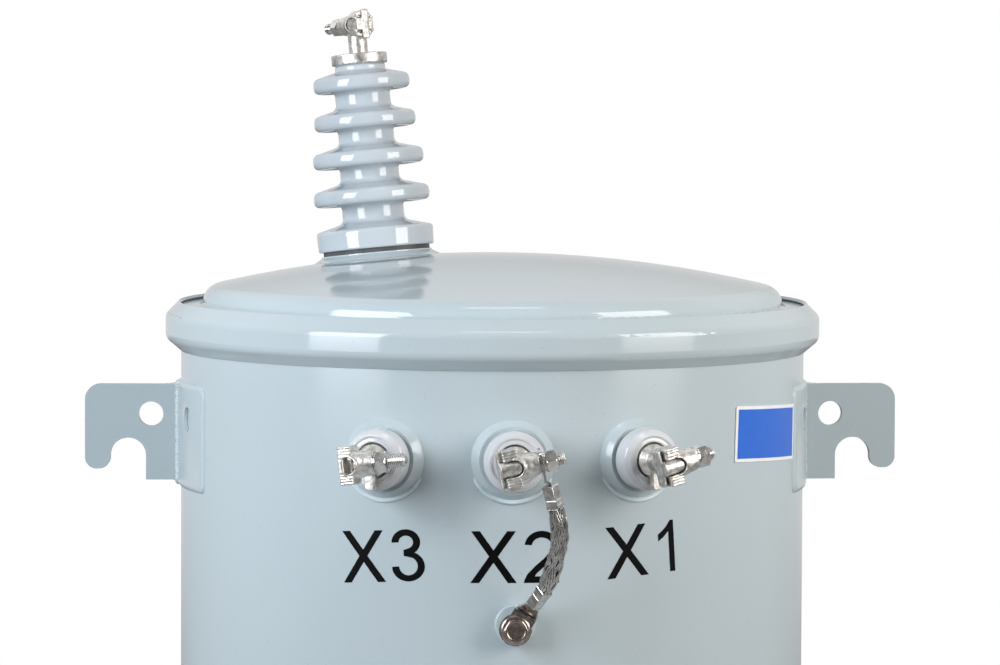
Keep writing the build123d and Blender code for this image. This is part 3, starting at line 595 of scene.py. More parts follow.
def outlines():
    """Plain sans signs, one unit tall and centred on their width, as corner points."""
    low, high, stroke = 0.448, 0.432, 0.170
    span = low + high - stroke
    cross = (2 * low - stroke) / (2 * span)
    letter = [
        (-low, 0), (stroke - low, 0), (0, (low - stroke) / span), (low - stroke, 0), (low, 0),
        (stroke / 2, cross), (high, 1), (high - stroke, 1), (0, low / span), (stroke - high, 1),
        (-high, 1), (-stroke / 2, cross),
    ]
    three = [
        *arc((-0.03, 0.755), (0.288, 0.252), 180, -52),
        *arc((-0.005, 0.287), (0.330, 0.292), 66, -180),
        *arc((-0.002, 0.293), (0.186, 0.177), -180, 62), (-0.085, 0.492), (-0.085, 0.608),
        *arc((-0.03, 0.755), (0.145, 0.126), -76, 180),
    ]
    two = [
        *arc((0.0, 0.715), (0.330, 0.288), 176, -34), (0.16, 0.41), (0.0, 0.265),
        (-0.10, 0.178), (-0.135, 0.125), (0.335, 0.125), (0.335, 0), (-0.345, 0),
        (-0.325, 0.075), (-0.27, 0.175), (-0.13, 0.32), (0.05, 0.47), (0.14, 0.575),
        *arc((0.0, 0.715), (0.192, 0.158), -22, 176),
    ]
    one = [
        (0.052, 0), (0.178, 0), (0.178, 1), (0.10, 1), (0.02, 0.900), (-0.08, 0.815),
        (-0.19, 0.745), (-0.19, 0.610), (-0.07, 0.680), (0.052, 0.785),
    ]
    return {"X": letter, "3": three, "2": two, "1": one}


def wrapped(name, shapes, azimuth, height, turn, lift):
    """Flat outlines in metres, filled and laid on the tank's wall."""
    flat = bmesh.new()
    for shape in shapes:
        corners = [flat.verts.new((x, y, 0.0)) for x, y in shape]
        edges = [flat.edges.new((corners[i - 1], corners[i])) for i in range(len(corners))]
        bmesh.ops.triangle_fill(flat, use_beauty=True, use_dissolve=False, edges=edges)
    for x in range(-42, 45, 3):  # cuts for the wall's curve, in millimetres
        bmesh.ops.bisect_plane(
            flat, geom=flat.verts[:] + flat.edges[:] + flat.faces[:], plane_co=(x * MM, 0, 0),
            plane_no=(1, 0, 0),
        )
    spin = Matrix.Rotation(radians(turn), 4, "Z")
    radius = TANK_R + lift
    for vertex in flat.verts:
        place = spin @ vertex.co
        vertex.co = on_wall(radians(azimuth) + place.x / radius, height + place.y, lift)
    bmesh.ops.recalc_face_normals(flat, faces=flat.faces)
    if sum(f.normal.dot(f.calc_center_median().xy.to_3d()) for f in flat.faces) < 0:
        bmesh.ops.reverse_faces(flat, faces=flat.faces)
    mesh = bpy.data.meshes.new(name)
    flat.to_mesh(mesh)
    flat.free()
    mesh.shade_smooth()
    return mesh


# ---------------------------------------------------------------- settings

SHARE = {"min": 0.0, "max": 1.0}
COLOUR = {"subtype": "COLOR", **SHARE}
LENGTH = {"unit": "LENGTH", "precision": 5}


class FinishSettings(bpy.types.PropertyGroup):
    """Colours and gloss of the transformer's finishes."""

    paint: FloatVectorProperty(
        name="Enamel", description="Tank, cover and bracket enamel",
        default=(0.520, 0.610, 0.640), **COLOUR,
    )
    tank_roughness: FloatProperty(
        name="Tank roughness", description="How dull the tank's enamel is", default=0.16,
        subtype="FACTOR", **SHARE,
    )
    cover_roughness: FloatProperty(
        name="Cover roughness", description="How dull the cover's enamel is", default=0.07,
        subtype="FACTOR", **SHARE,
    )
    hv_glaze: FloatVectorProperty(
        name="High-voltage glaze", description="Glaze of the tall bushing",
        default=(0.560, 0.625, 0.665), **COLOUR,
    )
    lv_glaze: FloatVectorProperty(
        name="Low-voltage glaze", description="Glaze of the three wall bushings",
        default=(0.640, 0.670, 0.690), **COLOUR,
    )
    casting: FloatVectorProperty(
        name="Tinned casting", description="Clamp bodies and the bushing's cap",
        default=(0.73, 0.715, 0.675), **COLOUR,
    )
    plating: FloatVectorProperty(
        name="Bolt plating", description="Clamp bolts and nuts, and the ground strap",
        default=(0.76, 0.75, 0.72), **COLOUR,
    )
    stainless: FloatVectorProperty(
        name="Ground bolt", description="The flanged bolt of the tank ground",
        default=(0.43, 0.36, 0.31), **COLOUR,
    )
    label: FloatVectorProperty(
        name="Label", description="The blank label's field",
        default=(0.036, 0.165, 0.700), **COLOUR,
    )


class FittingSettings(bpy.types.PropertyGroup):
    """Sizes of the fine pieces."""

    pitch: FloatProperty(
        name="Thread pitch", description="Pitch of the clamp bolts' threads",
        default=1.75 * MM, min=0.5 * MM, max=4 * MM, **LENGTH,
    )
    voxel: FloatProperty(
        name="Casting detail", description="Grid that rough castings are fused on",
        default=0.45 * MM, min=0.2 * MM, max=2 * MM, **LENGTH,
    )
    weld: FloatProperty(
        name="Weld size", description="Radius of the lugs' weld beads", default=3.2 * MM,
        min=0.5 * MM, max=8 * MM, **LENGTH,
    )
    mark_height: FloatProperty(
        name="Mark height", description="Height of the terminal marks", default=44.5 * MM,
        min=10 * MM, max=120 * MM, **LENGTH,
    )
    mark_gap: FloatProperty(
        name="Mark gap", description="Between a mark's letter and its number", default=6.0 * MM,
        min=0.0, max=40 * MM, **LENGTH,
    )
    border: FloatProperty(
        name="Label border", description="Width of the label's white border",
        default=2.9 * MM, min=0.0, max=10 * MM, **LENGTH,
    )
    bundles: IntProperty(
        name="Strap bundles", description="Bundles in each hand of the strap's weave",
        default=7, min=4, max=16,
    )
    wires: IntProperty(
        name="Bundle wires", description="Wires side by side in each bundle", default=2,
        min=1, max=8,
    )


class StudioSettings(bpy.types.PropertyGroup):
    """Where the camera stands, and the lamps."""

    distance: FloatProperty(
        name="Camera distance", description="From the tank's axis", default=5.2, min=0.5,
        max=30.0, unit="LENGTH",
    )
    azimuth: FloatProperty(
        name="Camera azimuth", description="Round the tank from its front",
        default=radians(-3.7), subtype="ANGLE",
    )
    height: FloatProperty(
        name="Camera height", description="Above the foot", default=1.145, unit="LENGTH",
    )
    lens: FloatProperty(
        name="Focal length", description="In millimetres, on a 36 mm sensor", default=208.2,
        min=10.0, max=600.0,
    )
    lamp_power: FloatProperty(
        name="Softbox power", description="Of the left softbox, in watts", default=26.0, min=0.0,
    )
    world_level: FloatProperty(
        name="World level", description="Brightness of the surroundings", default=0.20, **SHARE,
    )


# ---------------------------------------------------------------- operators


class TRANSFORMER_OT_enamel(bpy.types.Operator):
    """Paint the tank, cover, clamp ring, lugs and brackets"""

    bl_idname = "transformer.enamel"
    bl_label = "Enamel"

    def execute(self, context):
        finish = context.scene.transformer_finish
        dull, plate = finish.tank_roughness, tint(finish.paint, 0.82)
        dress(enamel("tank_enamel", finish.paint, dull, 0.5), "tank_wall", "tank_bottom",
              "ground_boss", "lug_pad_left", "lug_pad_right")
        dress(enamel("cover_enamel", finish.paint, finish.cover_roughness, 0.5), "cover",
              "clamp_ring")
        dress(enamel("plate_enamel", plate, dull + 0.15, 0.4), "lifting_lug_left",
              "lifting_lug_right", "hanger_bracket_upper", "hanger_bracket_lower")
        dress(nitrile("gasket_rubber", 0.02), "cover_gasket",
              *[f"lv_gasket_{side}" for side in SIDES])
        dress(nitrile("bushing_gasket", 0.075), "hv_gasket")
        dress(plated("winding_steel", (0.2, 0.2, 0.2), 0.5), "core_and_oil")
        return {"FINISHED"}


class TRANSFORMER_OT_porcelain(bpy.types.Operator):
    """Glaze the high-voltage and low-voltage bushings"""

    bl_idname = "transformer.porcelain"
    bl_label = "Porcelain"

    def execute(self, context):
        finish = context.scene.transformer_finish
        dress(glaze("tall_bushing_glaze", finish.hv_glaze, 0.015), "hv_porcelain")
        dress(glaze("wall_bushing_glaze", finish.lv_glaze, 0.09),
              *[f"lv_porcelain_{side}" for side in SIDES])
        return {"FINISHED"}


class TRANSFORMER_OT_castings(bpy.types.Operator):
    """Cast the clamp bodies, their T-headed bolts and the tall bushing's cap"""

    bl_idname = "transformer.castings"
    bl_label = "Castings"

    # All in millimetres, in a clamp's frame.
    SLOT_MIDDLE = -3.3  # of the slot's round end, along the bolt
    LIP_R = 7.7
    JAW_R, JAW_TAPER = 12.6, 0.162  # of the body that the lip lies on
    RIDGE_ROWS = (8.0, 10.4, 12.8, 15.2)
    RIDGE_STEPS = (-11.6, -8.5, -5.5, -2.5, 0.4)
    RIDGE_FACE = 9.15
    TOOTH_RING, TOOTH_R = 12.4, 2.3

    def execute(self, context):
        voxel = context.scene.transformer_fitting.voxel
        metal = casting("tinned_casting", context.scene.transformer_finish.casting)
        body, bolt = (metal, "tinned_casting", voxel), (metal, "plated_bolt", voxel)
        for side in SIDES:
            place = clamp_matrix(side)
            extras = [(mesh, place) for mesh in self.ridges() + self.lips()]
            cast(f"clamp_body_{side}", f"lv_stud_{side}", *body, 4, 0.13 * MM, extras)
            crown = None if side == "left" else self.crowned(place)
            cast(f"clamp_head_{side}", f"lv_clamp_bolt_{side}", *bolt, 5, 0.10 * MM, shape=crown)
        teeth = [(mesh, hv_clamp_matrix()) for mesh in self.mouth_teeth()]
        cast("tall_clamp_body", "hv_clamp", *body, 3, 0.15 * MM, teeth)
        cast("tall_clamp_head", "hv_clamp_bolt", *bolt, 4, 0.10 * MM)
        cast("bushing_cap", "hv_cap", *body, 3, 0.15 * MM)
        return {"FINISHED"}

    @staticmethod
    def crowned(place):
        """Rounds the key's two faces, as a bar's are, in a clamp's frame."""
        back = place.inverted()
        half, end, fade = 7.0 * MM, 16.5 * MM, 3.0 * MM

        def moved(point):
            local = back @ point
            across = min(1.0, abs(local.y) / half)
            inside = min(1.0, max(0.0, (local.x + end) / fade))
            local.z *= 1.0 - inside * (1.0 - sqrt(1.0 - 0.72 * across**2))
            return place @ local

        return moved

    def ridges(self):
        """Rough ribs along the jaws' faces."""
        found = []
        draw = random.Random(7)
        for jaw in (-1, 1):
            for face in (-1, 1):
                for y in self.RIDGE_ROWS:
                    points = [
                        (x, jaw * (y + draw.uniform(-0.35, 0.35)),
                         face * (self.RIDGE_FACE + draw.uniform(-0.15, 0.15)))
                        for x in self.RIDGE_STEPS
                    ]
                    found.append(rod(points, draw.uniform(0.75, 0.95)))
        return found

    def lips(self):
        """A raised edge round the closed end of the slot, on both sides."""
        found = []
        for face in (-1, 1):
            points = []
            for angle in range(-90, 91, 10):
                x = self.SLOT_MIDDLE + self.LIP_R * cos(radians(angle))
                y = self.LIP_R * sin(radians(angle))
                radius = self.JAW_R - max(0.0, x + 1.0) * self.JAW_TAPER
                points.append((x, y, face * (sqrt(radius**2 - y**2) + 0.1)))
            found.append(rod(points, 0.95))
        return found

    def mouth_teeth(self):
        """Raised teeth round the ring mouth of the tall bushing's clamp."""
        found = []
        for angle in (24, 58, 122, 156, 204, 238, 302, 336):
            y, z = self.TOOTH_RING * cos(radians(angle)), self.TOOTH_RING * sin(radians(angle))
            found.append(rod([(-14.0, y, z), (-10.0, y, z)], self.TOOTH_R))
        return found


class TRANSFORMER_OT_bolts(bpy.types.Operator):
    """Cut the threads, nuts and washers of the clamps, and the ground and closure bolts"""

    bl_idname = "transformer.bolts"
    bl_label = "Nuts and bolts"

    NUT_START, NUT_THICK, WASHER, NUT_FLATS = 17.5 * MM, 9.8 * MM, 2.4 * MM, 17.5 * MM
    MINOR, MAJOR = 4.75 * MM, 5.9 * MM
    GRIPS = {"left": 0.0, "middle": 3.4 * MM, "right": 0.0}
    TAILS = {"left": 15.5 * MM, "middle": 6.8 * MM, "right": 6.0 * MM}
    TALL_GRIP, TALL_TAIL = 4.0 * MM, 15.5 * MM  # before the tall clamp's scale
    HEAD, HEAD_FLATS = 10.1 * MM, 19.0 * MM
    FLANGE, FLANGE_R = 2.6 * MM, 13.0 * MM

    def execute(self, context):
        finish = context.scene.transformer_finish
        pitch = context.scene.transformer_fitting.pitch
        metal = plated("bolt_plating", finish.plating, 0.15)
        for side in SIDES:
            self.fasten(f"clamp_{{}}_{side}", clamp_matrix(side), self.GRIPS[side],
                        self.TAILS[side], pitch, metal, f"lv_clamp_nut_{side}")
        self.fasten("tall_clamp_{}", hv_clamp_matrix(), self.TALL_GRIP, self.TALL_TAIL, pitch,
                    metal, "hv_clamp_nut")
        self.ground(plated("stainless", finish.stainless, 0.24))
        dress(metal, "closure_bolt", "closure_nut")
        return {"FINISHED"}

    def fasten(self, name, place, grip, tail, pitch, metal, stands_for):
        """The nut, its washers and the thread beyond it."""
        start = self.NUT_START + grip + self.WASHER
        parts = nut(start, self.NUT_THICK, self.NUT_FLATS, self.WASHER)
        piece(name.format("nut"), [(part, place) for part in parts], metal, "plated_bolt",
              stands_for)
        sunk, past = 1.2 * MM, 0.3 * MM  # where the thread starts, and how far over it ends
        screw = thread(start + self.NUT_THICK - sunk, tail + sunk + past, self.MINOR,
                       self.MAJOR, pitch)
        piece(name.format("thread"), [(screw, place)], metal, "plated_bolt")

    def ground(self, metal):
        """The flanged hexagon head on the ground boss."""
        middle = middle_of("ground_bolt")
        face = Vector((middle.x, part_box("ground_bolt")[0].y, middle.z))
        place = axis_matrix(face, (0, -1, 0)) @ Matrix.Rotation(radians(30), 4, "X")
        washer = [
            (x * MM - self.HEAD, self.FLANGE_R - drop * MM)
            for x, drop in ((0.2, 0.4), (0.6, 0.0), (1.5, 0.0), (2.6, 0.7), (3.2, 2.1))
        ]
        flats = self.HEAD_FLATS
        inner = flats * 0.475
        sharp = hexagon(flats, 1.0)
        head = [(self.FLANGE - self.HEAD, sharp), (-3.4 * MM, sharp)]
        for d in (1.8, 1.2, 0.7, 0.3, 0.0):
            head.append((-d * MM, hexagon(flats, inner + d * MM * 1.5)))
        head += [(0.0, inner * 0.90), (-0.35 * MM, inner * 0.82), (-0.35 * MM, inner * 0.2)]
        parts = [(creased(spun(washer, 72)), place), (creased(spun(head, 72), 20.0), place)]
        piece("ground_bolt_head", parts, metal, "stainless_bolt", "ground_bolt")


class TRANSFORMER_OT_strap(bpy.types.Operator):
    """Weave the tank ground's braided strap and form its crimped lugs"""

    bl_idname = "transformer.strap"
    bl_label = "Ground strap"

    WIDE, DEEP = 6.4 * MM, 5.2 * MM  # from the middle out to the bundles
    LAY = 0.46  # turns that a bundle makes
    WEAVE = 0.62 * MM
    WIRE_R, WIRE_GAP = 0.92 * MM, 1.85 * MM
    CORE_R, CORE_WIDE = 4.4 * MM, 1.28
    CRIMP, CRIMP_FLATS, CRIMP_CORNER = 20.0 * MM, 10.6 * MM, 7.2 * MM
    EYE_R, EYE_FLAT, PLATE = 12.4 * MM, 16.0 * MM, 2.0 * MM
    EYE_X = 19.6 * MM  # of the upper eye, along the middle clamp's bolt
    FOOT_R, FOOT_PLATE, FOOT_OUT = 13.888 * MM, 3.0 * MM, 8.7 * MM

    def execute(self, context):
        settings = context.scene.transformer_fitting
        finish = context.scene.transformer_finish
        route = [Vector((x * MM, -TANK_R - out * MM, RING_Z + z * MM))
                 for x, out, z in STRAP_ROUTE]
        line = self.smooth_line(route)
        tin = plated("braid_tin", tint(finish.plating, 0.70), 0.20)
        mesh = self.weave(line, settings.bundles, settings.wires)
        strap = piece("braided_strap", mesh, tin, "braid", "strap_braid")
        metal = plated("lug_tin", tint(finish.plating, 0.88), 0.13)
        piece("strap_lug_top", self.upper_lug(route), metal, "strap_lug", "strap_lug_upper")
        piece("strap_lug_foot", self.lower_lug(route), metal, "strap_lug", "strap_lug_lower")
        return {"FINISHED"}

    @staticmethod
    def smooth_line(route):
        """Points read from the route's own smooth curve."""
        curve = bpy.data.curves.new("strap_route", "CURVE")
        curve.dimensions = "3D"
        curve.resolution_u = 32
        spline = curve.splines.new("NURBS")
        spline.points.add(len(route) - 1)
        for point, place in zip(spline.points, route):
            point.co = (*place, 1.0)
        spline.order_u = 3
        spline.use_endpoint_u = True
        mesh = evaluated(curve)
        points = [vertex.co.copy() for vertex in mesh.vertices]
        bpy.data.meshes.remove(mesh)
        return points

    def crimp(self, end, towards, turn):
        """A squared barrel from the braid's end, with a lip where the braid goes in."""
        profile = (  # along the barrel, and what its flats stand out, in millimetres
            (-20.0, -0.7), (-19.4, -0.1), (-19.0, 0.0), (-9.0, 0.0), (-8.6, -0.25), (-7.4, -0.25),
            (-7.0, 0.0), (-3.4, 0.0), (-3.0, 0.45), (-0.5, 0.55), (0.0, 0.25),
        )
        stations = [
            (x * MM, hexagon(self.CRIMP_FLATS + 2 * grow * MM, self.CRIMP_CORNER + grow * MM, 4))
            for x, grow in profile
        ]
        stations += [(0.0, 4.6 * MM), (-2.0 * MM, 4.2 * MM)]
        place = axis_matrix(end, towards - end) @ Matrix.Rotation(radians(turn), 4, "X")
        return creased(spun(stations, 72), 24.0), place

    def upper_lug(self, route):
        """Eye on the middle clamp's end, bent over to its crimp."""
        place = clamp_matrix("middle")
        across = (place.to_3x3() @ Vector((0.0, 0.0, 1.0))).normalized()
        radius, narrowing, steps = self.EYE_R, 9.0, 24
        points, halves = [], []
        for i in range(steps + 1):
            y = radius - (radius + self.EYE_FLAT) * i / steps
            points.append(place @ Vector((self.EYE_X, y, 0.0)))
            halves.append(
                sqrt(max(0.0, radius**2 - y**2)) if y > 0 else radius * (1 + y * narrowing)
            )
        top = route[0] + (route[0] - route[1]).normalized() * self.CRIMP
        heel, level = points[-1], top + Vector((0.0, 0.0, 1.5 * MM))
        level.y = heel.y
        for u in (0.25, 0.5, 0.75, 1.0):
            points.append(heel.lerp(level, u))
            halves.append((9.0 - 3.6 * u) * MM)
        points.append(level + (route[0] - top) * 0.3)
        halves.append(5.2 * MM)
        plate = ribbon(points, across, halves, self.PLATE)
        washer = creased(spun([(17.5 * MM, 8.6 * MM), (18.4 * MM, 8.6 * MM)], 40))
        return [(plate, Matrix()), (washer, place), self.crimp(route[0], route[1], -7.0)]

    def lower_lug(self, route):
        """Eye under the ground bolt's flange, and the neck up to its crimp."""
        end = route[-1]
        away = (end - route[-2]).normalized()
        foot = end + (away + Vector((-0.17, 0.0, 0.02))).normalized() * self.CRIMP
        middle = middle_of("ground_bolt")
        seat = Vector((middle.x, -TANK_R - self.FOOT_OUT, middle.z))
        away = (Vector((foot.x, seat.y, foot.z)) - seat).normalized()
        across = away.cross(Vector((0.0, 1.0, 0.0))).normalized()
        radius, shoulder, half = self.FOOT_R, 8 * MM, 10.6 * MM
        points, halves = [], []
        for i in range(25):
            d = i * 1.25 * MM - radius
            points.append(seat + away * d)
            halves.append(sqrt(max(0.0, radius**2 - d**2)) if d < shoulder else half)
        bend = points[-1]
        for u in (0.35, 0.7, 1.0, 1.2):
            points.append(bend.lerp(foot, u) if u <= 1 else foot + (end - foot) * 0.2)
            halves.append(half - 4.8 * MM * min(u, 1.0))
        plate = ribbon(points, across, halves, self.FOOT_PLATE)
        return [(plate, Matrix()), self.crimp(end, end * 2.0 - foot, 45.0)]

    def weave(self, line, bundles, wires):
        """Two hands of flat bundles that pass over and under each other, on a core."""
        frames = []
        for i, here in enumerate(line):
            ahead = heading(line, i)
            side = ahead.cross(Vector((0.0, 1.0, 0.0))).normalized()
            frames.append((here, side, side.cross(ahead)))
        points, faces = [], []

        def add(found):
            base = len(points)
            points.extend(found[0])
            faces.extend(tuple(base + n for n in face) for face in found[1])

        draw = random.Random(11)
        for hand in (-1, 1):
            for bundle in range(bundles):
                phase = 2 * pi * bundle / bundles + draw.uniform(-0.06, 0.06)
                lay = self.LAY * draw.uniform(0.95, 1.05)
                for wire in range(wires):
                    aside = wire - (wires - 1) / 2
                    offset = aside * self.WIRE_GAP / self.WIDE + draw.uniform(-0.02, 0.02)
                    path = []
                    for i, (here, side, lean) in enumerate(frames):
                        u = i / (len(line) - 1)
                        turn = hand * 2 * pi * lay * u
                        over = hand * cos(bundles * turn + bundle * pi) * self.WEAVE
                        over -= abs(aside) * 0.10 * MM
                        a = phase + turn + offset
                        pinch = 0.86 + 0.14 * min(1.0, min(u, 1 - u) * 12)
                        path.append(
                            here + side * cos(a) * (self.WIDE + over) * pinch
                            + lean * sin(a) * (self.DEEP + over) * pinch
                        )
                    add(tube_along(path, lambda u, t: self.WIRE_R, 6))
        add(tube_along(line, lambda u, t: self.CORE_R, 24, self.CORE_WIDE, (0, 1, 0)))
        return mesh_from("braided_strap", points, faces)


class TRANSFORMER_OT_welds(bpy.types.Operator):
    """Lay the weld beads round the lugs' roots, and smooth the edges of pads and bosses"""

    bl_idname = "transformer.welds"
    bl_label = "Welds"

    PAD_R = 4.6 * MM
    PAD_SUNK = 1.7 * MM  # how far under the wall's surface the pad's bead is centred
    PAD_SPAN, PAD_CORNER = (69.0, 113.0), 4.0 * MM  # its edges in degrees from the front
    LUG_AZIMUTH, LUG_LEAN = 91.0, 93.0
    ROOT_OUT, ROOT_BACK, ROOT_HALF = 3.4 * MM, 1.8 * MM, 4.9 * MM
    RIM = (  # radius and height, in millimetres
        (33.6, 0.0), (34.0, 3.2), (34.7, 4.2), (35.6, 5.0), (36.7, 5.35), (37.6, 4.9),
        (38.3, 3.9), (38.6, 0.0),
    )
    FILLET = (  # out and up from a plate's corner, in millimetres
        (-3.5, -3.0), (13.0, -1.5), (13.0, 0.1), (8.0, 0.5), (4.5, 1.2), (2.2, 2.2), (1.0, 3.4),
        (0.2, 4.8), (-3.5, 4.8),
    )

    def execute(self, context):
        finish = context.scene.transformer_finish
        size = context.scene.transformer_fitting.weld
        bright = enamel("bead_enamel", tint(finish.paint, 1.03), 0.25, 0.5)
        paint = enamel("edge_enamel", finish.paint, finish.tank_roughness, 0.4)
        # The boss rims' enamel is lighter than the tank's by a factor of 1.22: a painted highlight
        # for the bright crescent under each wall bushing.
        thick = enamel("rim_enamel_painted_highlight", tint(finish.paint, 1.22), 0.06, 0.4)
        for name, side in (("left", -1), ("right", 1)):
            a, lean = radians(self.LUG_AZIMUTH) * side, radians(self.LUG_LEAN) * side
            out = Vector((sin(lean), -cos(lean), 0.0))
            root = on_wall(a, 0.0, self.ROOT_OUT) - out * self.ROOT_BACK
            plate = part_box(f"lifting_lug_{name}")
            foot, top = (root + Vector((0.0, 0.0, corner.z)) for corner in plate)
            loop = self.root_path(root, out, side, foot.z, top.z)
            parts = [
                self.bead(loop, size, 1.5 * MM, 2.9 * MM, (1, 0, 0)),
                self.fillet(top, out, 1.0, 1.0), self.fillet(foot, out, -0.6, 0.5),
            ]
            piece(f"lug_weld_{name}", [(part, Matrix()) for part in parts], bright, "lug_paint")
            edge = self.bead(self.pad_path(name, side), self.PAD_R, 0.1 * MM, 6.0 * MM)
            piece(f"pad_edge_{name}", edge, paint, "lug_paint")
        for side in SIDES:
            # Each rim wears the lighter enamel, its painted highlight.
            rim = self.boss_rim()
            rim.transform(wall_matrix(AZIMUTHS[side], LV_Z))
            piece(f"boss_rim_{side}", rim, thick, "lug_paint")
        return {"FINISHED"}

    def boss_rim(self):
        """The raised rim under a wall bushing's boss, which runs out towards its sides."""
        sides, sunk = 120, 3.0
        places = []
        for i in range(sides):
            t = 2 * pi * i / sides
            low = min(1.0, max(0.0, (-sin(t) - 0.12) / 0.6))
            rise = low * low * (3.0 - 2.0 * low)
            for r, height in self.RIM:
                x, y = (r - 0.6 * (1.0 - rise)) * cos(t) * MM, r * sin(t) * MM
                z = (height * (0.15 + 0.85 * rise) - sunk) * MM
                places.append((x, y, z - x * x / (2 * TANK_R)))
        return shell("boss_rim", places, len(self.RIM), 40.0, capped=False)

    def fillet(self, corner, out, rise, reach):
        """Hollow fillet of weld from a plate's edge up to the pad."""
        front = Vector((out.y, -out.x, 0.0))
        places = []
        for across, shrink in ((-4.2, 0.9), (-3.0, 0.0), (3.0, 0.0), (4.2, 0.9)):
            for x, z in self.FILLET:
                places.append(
                    corner + front * across * MM + out * (x - shrink * (x > 0)) * reach * MM
                    + Vector((0.0, 0.0, (z - shrink * (z > 0)) * rise * MM))
                )
        return shell("fillet", places, len(self.FILLET), 50.0)

    def root_path(self, root, out, side, low, high):
        """Down the front of the plate's root, under it, and up its back."""
        front = Vector((out.y, -out.x, 0.0)) * side
        half = self.ROOT_HALF
        corners = [(half, high), (half, low), (-half, low), (-half, high), (half, high)]
        flat = divided([Vector(corner) for corner in corners], 0.7 * MM, 4)
        return [root + front * place.x + Vector((0.0, 0.0, place.y)) for place in flat]

    def pad_path(self, name, side):
        """Round the outline of a pad, on the tank's wall."""
        low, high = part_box(f"lug_pad_{name}")
        radius, corner = TANK_R - self.PAD_SUNK, self.PAD_CORNER
        start, end = (radians(edge) * radius for edge in self.PAD_SPAN)
        left, right = start + corner, end - corner
        foot, top = low.z + corner, high.z - corner
        outline = []
        for x, z, first in ((right, top, 0), (left, top, 90), (left, foot, 180),
                            (right, foot, 270)):
            for turn in range(first, first + 91, 15):
                t = radians(turn)
                outline.append(Vector((x + corner * cos(t), z + corner * sin(t))))
        points = [
            on_wall(side * place.x / radius, place.y, -self.PAD_SUNK)
            for place in divided([*outline, outline[0]], 2.5 * MM)
        ]
        return [*points, points[0]]

    @staticmethod
    def bead(path, size, ripple, pitch, across=(0.0, 0.0, 1.0)):
        """A lumpy bead along a path."""
        spread = sum((b - a).length for a, b in zip(path, path[1:]))

        def radius(u, t):
            along = u * spread
            lump = abs(sin(pi * along / pitch)) * 0.4
            lump += noise.noise(Vector((along * 300.0, cos(t) * 1.2, sin(t) * 1.2))) * 0.9
            return size + ripple * lump

        return mesh_from("bead", *tube_along(path, radius, 14, across=across))


class TRANSFORMER_OT_marks(bpy.types.Operator):
    """Paint the terminal marks on the tank under the wall bushings"""

    bl_idname = "transformer.marks"
    bl_label = "Terminal marks"

    MARKS = {  # text, azimuth, millimetres below the clamp ring, turn in degrees, more gap
        "left": ("X3", -23.2, 160.6, 3.4, 0.0),
        "middle": ("X2", 0.4, 159.5, 0.2, 0.0),
        "right": ("X1", 23.7, 155.6, 4.0, 5.0 * MM),
    }
    HALVES = {"X": 0.450, "3": 0.330, "2": 0.345, "1": 0.19}  # of a sign's width
    LIFT = 0.12 * MM

    def execute(self, context):
        settings = context.scene.transformer_fitting
        paint = marking_paint("marking_black")
        shapes = outlines()
        tall = settings.mark_height
        for side, (text, azimuth, drop, turn, more) in self.MARKS.items():
            gap = settings.mark_gap + more
            x = -tall * sum(self.HALVES[sign] for sign in text) - gap / 2
            found = []
            for sign in text:
                half = self.HALVES[sign] * tall
                x += half
                found.append([(x + px * tall, (py - 0.5) * tall) for px, py in shapes[sign]])
                x += half + gap
            name = f"terminal_mark_{side}"
            mesh = wrapped(name, found, azimuth, RING_Z - drop * MM, turn, self.LIFT)
            piece(name, mesh, paint, "tank_paint")
        return {"FINISHED"}


class TRANSFORMER_OT_label(bpy.types.Operator):
    """Print the label's blue field inside its white border"""

    bl_idname = "transformer.label"
    bl_label = "Label"

    HALF_WIDE, HALF_TALL, LIFT = 55.87 * MM, 24.4 * MM, 1.25 * MM
    AZIMUTH, TURN = 56.7, -2.5

    def execute(self, context):
        border = context.scene.transformer_fitting.border
        dress(vinyl("label_white", (0.93, 0.94, 0.96)), "label_plate")
        wide, tall = self.HALF_WIDE - border, self.HALF_TALL - border
        shape = [(-wide, -tall), (wide, -tall), (wide, tall), (-wide, tall)]
        height = middle_of("label_plate").z
        mesh = wrapped("label_field", [shape], self.AZIMUTH, height, self.TURN, self.LIFT)
        blue = vinyl("label_blue", context.scene.transformer_finish.label)
        piece("label_field", mesh, blue, "label")
        return {"FINISHED"}


